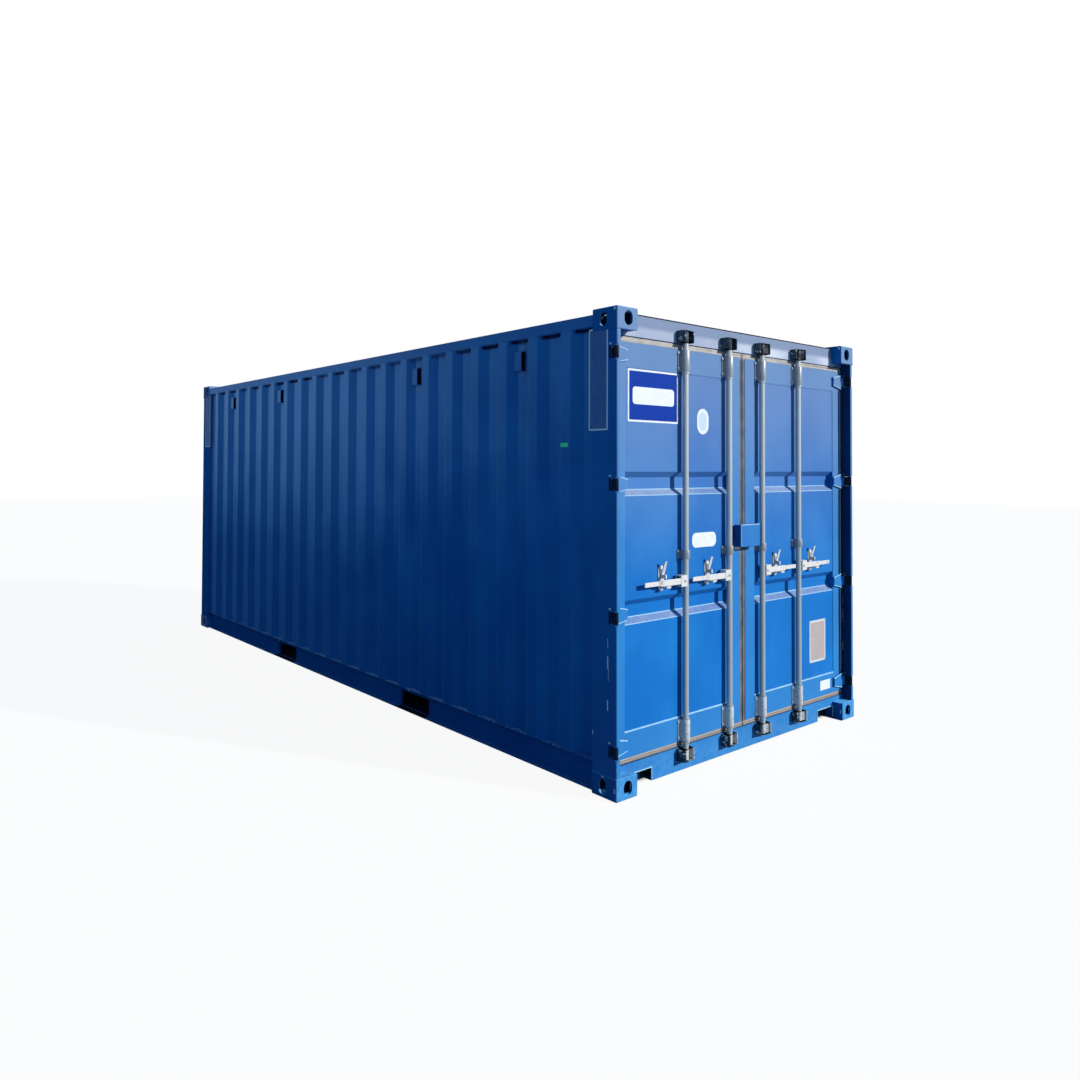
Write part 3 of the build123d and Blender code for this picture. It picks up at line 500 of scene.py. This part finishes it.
# Soft edges, by how wide they are: loose triangles are joined first and flat runs are merged
softEdges = {
    "bottom_corner": 0.010, "top_corner": 0.010, "rear_corner": 0.002, "door_frame": 0.004,
    "door_header": 0.003, "door_sill": 0.002, "door_hinges": 0.002, "cam_keepers": 0.006,
    "handle_retainers": 0.0015, "lock_handle": 0.0015, "lock_box": 0.004, "side_vents": 0.004,
    "rod_brackets": 0.0015, "top_side_rail": 0.004, "front_header": 0.004, "front_sill": 0.003,
}
soften = {"gap": 0.00002, "flat": 0.5, "steps": 2, "sharper": 40}  # metres and degrees


# The value of the first key that the name starts with
def chosen(name, table, fallback):
    return next((value for start, value in table.items() if name.startswith(start)), fallback)


for name, node in nodes.items():
    finish = nodeFinish.get(name) or chosen(name, startFinish, "frame")
    node.data.materials.clear()
    node.data.materials.append(finishes[finish])
    edge = chosen(name, softEdges, None)
    if edge:
        joined = node.modifiers.new("joined", "WELD")
        joined.merge_threshold = soften["gap"]
        flat = node.modifiers.new("flat", "DECIMATE")
        flat.decimate_type = "DISSOLVE"
        flat.angle_limit = radians(soften["flat"])
        soft = node.modifiers.new("soft", "BEVEL")
        soft.width = edge
        soft.segments = soften["steps"]
        soft.limit_method = "ANGLE"
        soft.angle_limit = radians(soften["sharper"])
print("materials:", len(finishes))


# Mesh kit

# The four corners of each cell of a grid of points
def gridCells(rows, columns, closeRows=False, closeColumns=False):
    row = np.arange(rows if closeRows else rows - 1)
    column = np.arange(columns if closeColumns else columns - 1)
    row, column = np.meshgrid(row, column, indexing="ij")
    nextRow, nextColumn = (row + 1) % rows, (column + 1) % columns
    corners = [row * columns + column, nextRow * columns + column,
               nextRow * columns + nextColumn, row * columns + nextColumn]
    return np.stack(corners, axis=-1).reshape(-1, 4)


# A grid of points (rows, columns, 3) as a patch of points and cells
def patch(points, closeRows=False, closeColumns=False):
    rows, columns = points.shape[:2]
    return points.reshape(-1, 3), gridCells(rows, columns, closeRows, closeColumns)


# The same patch set down at many places
def repeat(shape, places):
    points, faces = shape
    places = np.asarray(places, float).reshape(-1, 1, 3)
    count = len(places)
    moved = (points[None] + places).reshape(-1, 3)
    offsets = np.arange(count)[:, None, None] * len(points)
    return moved, (faces[None] + offsets).reshape(-1, 4)


# A patch that faces -Y, turned so that it faces the left or right side of the box
def toSide(shape, sign):
    points, faces = shape
    return np.stack([-sign * points[:, 1], sign * points[:, 0], points[:, 2]], axis=-1), faces


# Patches become one closed piece that rides on a body
def makePiece(name, patches, finish, body, sharp=35, replaced=()):
    points = np.concatenate([part for part, _ in patches])
    starts = np.cumsum([0] + [len(part) for part, _ in patches[:-1]])
    faces = np.concatenate([cells + start for (_, cells), start in zip(patches, starts)])
    mesh = bpy.data.meshes.new(name)
    mesh.from_pydata(points, [], faces)
    shell = bmesh.new()
    shell.from_mesh(mesh)
    bmesh.ops.remove_doubles(shell, verts=shell.verts, dist=1e-6)
    bmesh.ops.recalc_face_normals(shell, faces=shell.faces)
    shell.to_mesh(mesh)
    shell.free()
    mesh.shade_smooth()
    mesh.set_sharp_from_angle(angle=radians(sharp))
    mesh.materials.append(finishes[finish])
    piece = bpy.data.objects.new(name, mesh)
    bpy.context.scene.collection.objects.link(piece)
    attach(piece, body)
    if replaced:
        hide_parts(*replaced)


# Turned shape with its axis along -Y: each ring has a radius, a share of hexagon and a rise. A
# hexagon reaches as far as its flat side divided by the cosine of the angle from that side's middle
def turned(rings, steps=12):
    angle = np.linspace(0, 2 * pi, steps, endpoint=False)
    hexagon = cos(pi / 6) / np.cos((angle + pi / 6) % (pi / 3) - pi / 6)
    radius, share, rise = (np.array(values)[:, None] for values in zip(*rings))
    reach = radius * (1 - share + share * hexagon)
    points = np.stack([reach * np.cos(angle), -rise + 0 * angle, reach * np.sin(angle)], axis=-1)
    return patch(points, closeColumns=True)


# Washer and six-sided head, as rings from the middle of the back to the middle of the top
def hexBolt(radius):
    return turned([(0, 0, -0.001), (1.9 * radius, 0, -0.001), (1.9 * radius, 0, 0.2 * radius),
                   (1.25 * radius, 0, 0.24 * radius), (1.12 * radius, 1, 0.3 * radius),
                   (1.12 * radius, 1, 0.9 * radius), (0.95 * radius, 0.5, 1.05 * radius),
                   (0, 0, 1.08 * radius)])


# Low dome, as rings that get smaller as they rise
def rivet(radius, dome):
    return turned([(0, 0, -0.001), (radius, 0, -0.001), (radius, 0, dome * 0.3),
                   (radius * 0.86, 0, dome * 0.75), (radius * 0.5, 0, dome),
                   (0, 0, dome * 1.05)])


# A profile (across, outward) carried along a path in a plane, mitred at its corners by the sum of
# both directions, and drawn in to the middle of the profile at each end
def tube(path, profile, outward):
    path, profile = np.asarray(path, float), np.asarray(profile, float)
    outward = np.asarray(outward, float)
    ahead = np.diff(path, axis=0)
    ahead = np.concatenate([ahead, ahead[-1:]])
    ahead /= np.linalg.norm(ahead, axis=1, keepdims=True)
    behind = np.concatenate([ahead[:1], ahead[:-1]])
    side = np.cross(ahead, outward) + np.cross(behind, outward)
    side /= np.linalg.norm(side, axis=1, keepdims=True)
    mitre = 1 / np.maximum(0.3, (side * np.cross(ahead, outward)).sum(axis=1))
    points = (path[:, None] + profile[None, :, :1] * side[:, None] * mitre[:, None, None]
              + profile[None, :, 1:] * outward)
    first = np.repeat(points[:1].mean(axis=1, keepdims=True), points.shape[1], axis=1)
    last = np.repeat(points[-1:].mean(axis=1, keepdims=True), points.shape[1], axis=1)
    return patch(np.concatenate([first, points, last]), closeColumns=True)


# Rounded rectangle of film or plate that faces -Y: rings of one outline, from the middle of its
# back over its bevelled edge to the middle of its front; inner leaves only a frame of that width.
# Each corner is a quarter circle around its own centre.
def plate(x, y, z, halfX, halfZ, corner, thickness, cornerSteps=6, inner=None):
    quarter = np.linspace(0, pi / 2, cornerSteps)
    angle = np.concatenate([quarter + turn * pi / 2 for turn in range(4)])
    centreX = np.repeat([1, -1, -1, 1], cornerSteps)
    centreZ = np.repeat([1, 1, -1, -1], cornerSteps)

    # The outline moved inwards and forwards, and shrunk towards the middle
    def ring(inset, rise, shrink=1.0):
        radius = max(corner - inset, 0.0001)
        ringX = centreX * (halfX - inset - radius) + radius * np.cos(angle)
        ringZ = centreZ * (halfZ - inset - radius) + radius * np.sin(angle)
        return np.stack([x + shrink * ringX, y - rise + 0 * angle, z + shrink * ringZ], axis=-1)

    bevel = thickness * 0.4
    outside = [ring(0, 0), ring(0, thickness - bevel), ring(bevel, thickness)]
    if inner is None:
        rings = [ring(0, 0, 0.0)] + outside + [ring(0, thickness, 0.0)]
        return patch(np.stack(rings), closeColumns=True)
    hole = [ring(inner, thickness), ring(inner, 0)]
    return patch(np.stack(outside + hole), closeRows=True, closeColumns=True)


# Door seals: a profile with two lips and a groove between them, carried round the leaf. It reaches
# from the leaf's edge to the edge of the opening, so each side has its own width.
seal = {
    "leafX": (0.0272, 1.1728), "leafZ": (0.1782, 2.4198),
    "frameX": (0.0025, 1.1848), "frameZ": (0.1492, 2.4508),
    "front": -2.9525, "back": -2.924,
    "profile": ((0.00, 0.60), (0.00, 0.10), (0.06, 0.02), (0.16, 0.00), (0.26, 0.02), (0.32, 0.09),
                (0.38, 0.11), (0.50, 0.11), (0.56, 0.09), (0.62, 0.02), (0.72, -0.01), (0.84, 0.03),
                (0.92, 0.12), (1.00, 0.30), (1.00, 1.00), (0.50, 1.00)),
}
for side, sign in sides:
    profile = np.array(seal["profile"])
    corners = [(0, 0), (1, 0), (1, 1), (0, 1)]
    leaf = np.array([(seal["leafX"][a], seal["leafZ"][b]) for a, b in corners])
    hole = np.array([(seal["frameX"][a], seal["frameZ"][b]) for a, b in corners])
    across = leaf[:, None] + (hole - leaf)[:, None] * profile[None, :, :1]
    depth = seal["front"] + (seal["back"] - seal["front"]) * profile[None, :, 1] + np.zeros((4, 1))
    points = np.stack([sign * across[..., 0], depth, across[..., 1]], axis=-1)
    makePiece("door_gasket_" + side, [patch(points, closeRows=True, closeColumns=True)], "rubber",
              side + "_door", sharp=50, replaced=("door_seal_" + side,))
print("door gaskets")

# Bolts: flanges of the long and short brackets, hubs of the handles
bolts = {
    "bracketX": 0.0335, "longZ": ((0.248, 0.044), (2.350, 0.044)), "shortZ": (1.245, 0.013),
    "longSeat": -2.960, "shortSeat": -2.956, "longRadius": 0.0060, "shortRadius": 0.0048,
    "hubX": 0.029, "hubSeat": -3.003, "hubRadius": 0.0065, "handleZ": 1.098,
}
for side, sign in sides:
    acrossRods = [sign * (x + across) for _, x in rods
                  for across in (-bolts["bracketX"], bolts["bracketX"])]
    longPlaces = [(x, bolts["longSeat"], z + rise) for x in acrossRods
                  for z, reach in bolts["longZ"] for rise in (-reach, reach)]
    shortZ, shortReach = bolts["shortZ"]
    shortPlaces = [(x, bolts["shortSeat"], shortZ + rise) for x in acrossRods
                   for rise in (-shortReach, shortReach)]
    makePiece("bracket_bolts_" + side, [repeat(hexBolt(bolts["longRadius"]), longPlaces),
                                        repeat(hexBolt(bolts["shortRadius"]), shortPlaces)],
              "bracket", side + "_door")
    for rod, x in rods:
        place = [(sign * (x + bolts["hubX"]), bolts["hubSeat"], bolts["handleZ"])]
        makePiece("hub_bolt_" + side + "_" + rod, [repeat(hexBolt(bolts["hubRadius"]), place)],
                  "handle", side + "_" + rod + "_rod")

# Hinge plates: flat plates on the blades, tall beside the pin and low at their tip. A slab is rings
# of one outline, from the middle of its back over its small bevel to the middle of its front.
hinge = {"far": 1.1690, "near": 1.0660, "farHalf": 0.048, "nearHalf": 0.026, "seat": -2.9655,
         "thick": 0.003, "bevel": 0.001}


def slab(outline, seat, thickness, bevel):
    outline = np.asarray(outline, float)
    middle = outline.mean(axis=0)
    inward = 1 - bevel / np.abs(outline - middle).max(axis=0)
    rings = [(0, 0), (1, 0), (1, thickness - bevel), (inward, thickness), (0, thickness)]
    points = [np.insert(middle + (outline - middle) * share, 1, seat - rise, axis=1)
              for share, rise in rings]
    return patch(np.stack(points), closeColumns=True)


# Corners of the plate of the hinge at height z, beside the pin first
def bladeOutline(sign, z):
    return [(sign * hinge["far"], z + hinge["farHalf"]),
            (sign * hinge["near"], z + hinge["nearHalf"]),
            (sign * hinge["near"], z - hinge["nearHalf"]),
            (sign * hinge["far"], z - hinge["farHalf"])]


for side, sign in sides:
    plates = [slab(bladeOutline(sign, z), hinge["seat"], hinge["thick"], hinge["bevel"])
              for z in hingeRows]
    makePiece("hinge_plates_" + side, plates, "leaf", side + "_door")
print("bolts and hinge plates")

# Weld beads: a round profile laid in the corner between two plates
weld = {"radius": 0.0040, "steps": 6}


def bead(path, outward, radius=weld["radius"]):
    angle = np.linspace(0, 2 * pi, weld["steps"], endpoint=False)
    profile = radius * np.stack([np.cos(angle), np.sin(angle)], axis=-1)
    return tube(path, profile, outward)


# Side walls are welded to their rails along every corrugation: valley, crest, crest, valley
wall = {"valley": 1.177, "pitch": 0.278, "first": -2.641, "count": 20, "halfCrest": 0.036,
        "slope": 0.068, "end": 2.851, "foot": 0.177, "top": 2.500, "radius": 0.003}
middles = wall["first"] + np.arange(wall["count"]) * wall["pitch"]
outer = wall["halfCrest"] + wall["slope"]
turns = np.array([-outer, -wall["halfCrest"], wall["halfCrest"], outer])
lineY = np.concatenate([[-wall["end"]], (middles[:, None] + turns).ravel(), [wall["end"]]])
wave = np.tile([wall["valley"], crestFace, crestFace, wall["valley"]], wall["count"])
lineX = np.concatenate([[wall["valley"]], wave, [wall["valley"]]])
for side, sign in sides:
    paths = [np.stack([sign * lineX, lineY, z + 0 * lineY], axis=-1)
             for z in (wall["foot"], wall["top"])]
    beads = [bead(path, (0, 0, 1), wall["radius"]) for path in paths]
    makePiece("wall_weld_" + side, beads, "wall", "box")

# Posts are welded to the castings at their foot and head
castingWeld = {"inX": 1.064, "frontInX": 1.187, "inY": 2.851, "outY": 3.025,
               "heights": (0.118, 2.473)}
for side, sign in sides:
    beads = []
    for end, inX in ((-1, castingWeld["inX"]), (1, castingWeld["frontInX"])):
        for z in castingWeld["heights"]:
            path = [(sign * postFace, end * castingWeld["inY"], z),
                    (sign * postFace, end * castingWeld["outY"], z),
                    (sign * inX, end * castingWeld["outY"], z)]
            beads.append(bead(path, (0, 0, 1)))
    makePiece("casting_weld_" + side, beads, "casting", "box")

# Seams on the doors: thick along the foot of each pressed sheet, thin on its other sides, and
# along the upper and lower edges of the hinge plates. The pale paint on the foot and hinge seams is
# a painted highlight.
doorSeams = {"x": (0.127, 1.073), "z": (0.318, 2.280), "foot": 0.0050, "thin": 0.0025,
             "blade": 0.0040}
for side, sign in sides:
    (x0, x1), (z0, z1) = doorSeams["x"], doorSeams["z"]
    around = [(sign * x, sheetFace, z) for x, z in ((x0, z0), (x0, z1), (x1, z1), (x1, z0))]
    makePiece("sheet_seam_" + side, [bead(around, (0, -1, 0), doorSeams["thin"])], "leaf",
              side + "_door")
    foot = [(sign * x0, sheetFace, z0), (sign * x1, sheetFace, z0)]
    welds = [bead(foot, (0, -1, 0), doorSeams["foot"])]
    for z in hingeRows:
        outline = [(x, hinge["seat"], up) for x, up in bladeOutline(sign, z)]
        welds += [bead(edge, (0, -1, 0), doorSeams["blade"]) for edge in (outline[:2], outline[2:])]
    makePiece("door_welds_" + side, welds, "seam", side + "_door")

# The steel channels in the sill's recesses are welded round their mouths, with a pale bead that is
# a painted highlight
sillWeld = {"x": (0.857, 1.057), "z": (0.017, 0.090), "radius": 0.0035}
for side, sign in sides:
    (x0, x1), (z0, z1) = sillWeld["x"], sillWeld["z"]
    path = [(sign * x, sillFace, z) for x, z in ((x0, z0), (x0, z1), (x1, z1), (x1, z0))]
    makePiece("sill_weld_" + side, [bead(path, (0, -1, 0), sillWeld["radius"])], "seam", "box")

# The lock box's front plate is welded on along its left and upper edges, with a pale bead that is a
# painted highlight
boxWeld = {"x": (-0.103, 0.090), "y": -3.016, "z": (1.262, 1.392), "radius": 0.0032}
(x0, x1), (z0, z1) = boxWeld["x"], boxWeld["z"]
path = [(x0, boxWeld["y"], z0), (x0, boxWeld["y"], z1), (x1, boxWeld["y"], z1)]
makePiece("lock_box_weld", [bead(path, (0, -1, 0), boxWeld["radius"])], "seam", "right_door")
print("welds")

# Ventilators: near black louvres with slanted slats in both ends of each hood, dark as painted
# shade on the shaded ends, and rivets in its flange
vents = {"y": (-2.224, -1.112, 1.112, 2.224), "z": 2.372, "half": 0.032, "x": (1.180, 1.2095),
         "open": (2.316, 2.422), "back": -0.001, "face": 0.0006, "slats": 8,
         "slat": ((-0.004, 0.0), (0.0015, 0.003), (0.003, 0.003), (-0.001, 0.0)),
         "seat": 1.179, "rivetY": 0.022, "rivetZ": 0.077, "rivet": 0.0040, "dome": 0.0022}
for side, sign in sides:
    openings, slats = [], []
    z0, z1 = vents["open"]
    halfZ = (z1 - z0) / 2
    line = [(sign * x, 0, 0) for x in vents["x"]]
    mouth = [(-halfZ, vents["back"]), (-halfZ, vents["face"]), (halfZ, vents["face"]),
             (halfZ, vents["back"])]
    for end in (-1, 1):
        profile = [(sign * end * up, out) for up, out in vents["slat"]]
        ends = [y + end * vents["half"] for y in vents["y"]]
        openings.append(repeat(tube(line, mouth, (0, end, 0)), [(0, y, z0 + halfZ) for y in ends]))
        slats.append(repeat(tube(line, profile, (0, end, 0)),
                            [(0, y, z) for y in ends for z in np.linspace(z0, z1, vents["slats"])]))
    makePiece("vent_openings_" + side, openings, "openingAndShade", "box")
    makePiece("vent_slats_" + side, slats, "slat", "box")
    places = [(sign * (y + along), -vents["seat"], vents["z"] + rise) for y in vents["y"]
              for along in (-vents["rivetY"], vents["rivetY"])
              for rise in (-vents["rivetZ"], vents["rivetZ"])]
    rivets = toSide(repeat(rivet(vents["rivet"], vents["dome"]), places), sign)
    makePiece("vent_rivets_" + side, [rivets], "vent", "box")
print("ventilators")

# Stickers and plates, all bare: finish, middle across and up, half width and half height, corner
# radius, and the plane that they lie on
signThickness = 0.0012
signs = {
    "door_sign_left": ("white", (-0.8350, 2.1340), (0.2140, 0.1450), 0.004, sheetFace),
    "oval_sticker_left": ("white", (-0.3915, 2.0120), (0.0550, 0.0760), 0.055, sheetFace),
    "rounded_label_left": ("white", (-0.3790, 1.3150), (0.1140, 0.0430), 0.034, sheetFace),
    "data_plate_right": ("plate", (0.8730, 0.5625), (0.1010, 0.1415), 0.004, sheetFace),
    "small_label_right": ("white", (0.9640, 0.2490), (0.0640, 0.0325), 0.004, doorFace),
}
for name, (finish, (x, z), half, corner, seat) in signs.items():
    makePiece(name, [plate(x, seat, z, *half, corner, signThickness)], finish,
              "left_door" if x < 0 else "right_door")

# Plain printed fields on them: finish, layer, middle, half size and corner radius
fieldThickness = 0.0005
signFields = {
    "door_sign_field_left": ("blue", 0, (-0.8350, 2.1340), (0.2030, 0.1340), 0.003),
    "door_sign_panel_left": ("white", 1, (-0.8350, 2.1340), (0.1760, 0.0480), 0.020),
    "oval_sticker_field_left": ("mist", 0, (-0.3915, 2.0120), (0.0360, 0.0560), 0.036),
    "data_plate_field_right": ("beige", 0, (0.8730, 0.5625), (0.0880, 0.1270), 0.002),
}
for name, (finish, layer, (x, z), half, corner) in signFields.items():
    seat = sheetFace - signThickness - layer * fieldThickness
    makePiece(name, [plate(x, seat, z, *half, corner, fieldThickness)], finish,
              "left_door" if x < 0 else "right_door")

# Upright strips on the four posts: a pale line around a plain field
strip = {"ends": (-2.890, 2.890), "z": 2.210, "halfY": 0.070, "halfZ": 0.274, "corner": 0.008,
         "line": 0.009, "lineThickness": 0.0008, "fieldCorner": 0.002, "fieldThickness": 0.0004}
for side, sign in sides:
    frames = [plate(sign * y, -postFace, strip["z"], strip["halfY"], strip["halfZ"],
                    strip["corner"], strip["lineThickness"], inner=strip["line"])
              for y in strip["ends"]]
    makePiece("post_strips_" + side, [toSide(shape, sign) for shape in frames], "pale", "box")
    fields = [plate(sign * y, -postFace, strip["z"], strip["halfY"] - strip["line"],
                    strip["halfZ"] - strip["line"], strip["fieldCorner"], strip["fieldThickness"])
              for y in strip["ends"]]
    makePiece("post_strip_fields_" + side, [toSide(shape, sign) for shape in fields], "film", "box")

# A small tag on the left wall, high up near the doors
tag = {"y": -2.628, "z": 1.863, "halfY": 0.030, "halfZ": 0.012, "corner": 0.002, "thickness": 0.001}
shape = plate(-tag["y"], -crestFace, tag["z"], tag["halfY"], tag["halfZ"], tag["corner"],
              tag["thickness"])
makePiece("wall_tag", [toSide(shape, -1)], "green", "box")

# Blind rivets hold the data plate
plateRivets = {"x": (0.7785, 0.9675), "z": (0.4275, 0.6975), "radius": 0.0040, "dome": 0.0018}
places = [(x, sheetFace - signThickness, z) for x in plateRivets["x"] for z in plateRivets["z"]]
shape = repeat(rivet(plateRivets["radius"], plateRivets["dome"]), places)
makePiece("plate_rivets_right", [shape], "bracket", "right_door")
print("signs")

# Floor, light and camera. Below the container the floor stays dark.
stage = {
    "reach": 40.0,
    "sunk": 0.0005,
    "ground": (0.22, 0.28, 0.36, 1),
    "white": (1, 1, 1, 1),
    "glow": 0.93,
    "sunWay": (0.463, -0.799, 0.383),
    "sun": 3.7,
    "sunAngle": 0.6,
    "sky": (0.060, 0.178, 0.325, 1),
    "shaded": ((-0.01, 1.12), (-0.01, 2.88), (-1, 1)),
    "shadedEdge": 0.03,
}


# What the camera and shiny surfaces see, against what only lights the object
def seen(finish):
    rays = [finish.node("LightPath", output=name)
            for name in ("Is Camera Ray", "Is Glossy Ray", "Is Transmission Ray")]
    return finish.node("Math", {"operation": "MINIMUM"}, {0: rays[0] + rays[1] + rays[2], 1: 1.0})


ground = Finish("pale_floor")
look = seen(ground) * (1 - ground.inBox(stage["shaded"], edge=stage["shadedEdge"]))
colour = ground.mix(look, stage["ground"], stage["white"])
lit = ground.node("BsdfDiffuse", sockets={"Color": colour})
glow = ground.node("Emission", sockets={"Color": stage["white"], "Strength": 1.0})
both = ground.node("MixShader", sockets={0: look * stage["glow"], 1: lit, 2: glow})
ground.node("OutputMaterial", sockets={"Surface": both})
reach, sunk = stage["reach"], stage["sunk"]
corners = [(x * reach, y * reach, -sunk) for x, y in ((-1, -1), (1, -1), (1, 1), (-1, 1))]
floorMesh = bpy.data.meshes.new("studio_floor")
floorMesh.from_pydata(corners, [], [(0, 1, 2, 3)])
floorMesh.materials.append(ground.material)
floor = bpy.data.objects.new("studio_floor", floorMesh)
bpy.context.scene.collection.objects.link(floor)

world = bpy.data.worlds.new("studio_sky")
bpy.context.scene.world = world
world.use_nodes = True
sky = Finish("studio_sky", world.node_tree)
colour = sky.mix(seen(sky), stage["sky"], stage["white"])
shine = sky.node("Background", sockets={"Color": colour, "Strength": 1.0})
sky.node("OutputWorld", sockets={"Surface": shine})

sunData = bpy.data.lights.new("sun", "SUN")
sunData.energy = stage["sun"]
sunData.angle = radians(stage["sunAngle"])
sunLamp = bpy.data.objects.new("sun", sunData)
sunLamp.rotation_euler = Vector(stage["sunWay"]).to_track_quat("Z", "Y").to_euler()
bpy.context.scene.collection.objects.link(sunLamp)

view = {"place": (-4.4419, -5.9846, 1.7412), "yaw": 38.768, "pitch": 1.138, "roll": 0.270,
        "lens": 27.66, "sensor": 36, "shift": (0.0464, -0.0834)}
yaw, pitch, roll = (radians(view[key]) for key in ("yaw", "pitch", "roll"))
ahead = Vector((sin(yaw) * cos(pitch), cos(yaw) * cos(pitch), sin(pitch)))
level = Vector((cos(yaw), -sin(yaw), 0))
upward = level.cross(ahead)
across = cos(roll) * level + sin(roll) * upward
above = -sin(roll) * level + cos(roll) * upward
cameraData = bpy.data.cameras.new("camera")
cameraData.lens = view["lens"]
cameraData.sensor_width = view["sensor"]
cameraData.shift_x, cameraData.shift_y = view["shift"]
camera = bpy.data.objects.new("camera", cameraData)
turn = Matrix((across, above, -ahead)).transposed().to_4x4()
camera.matrix_world = Matrix.Translation(view["place"]) @ turn
bpy.context.scene.collection.objects.link(camera)
bpy.context.scene.camera = camera
bpy.context.scene.view_settings.view_transform = "Standard"
print("stage set")
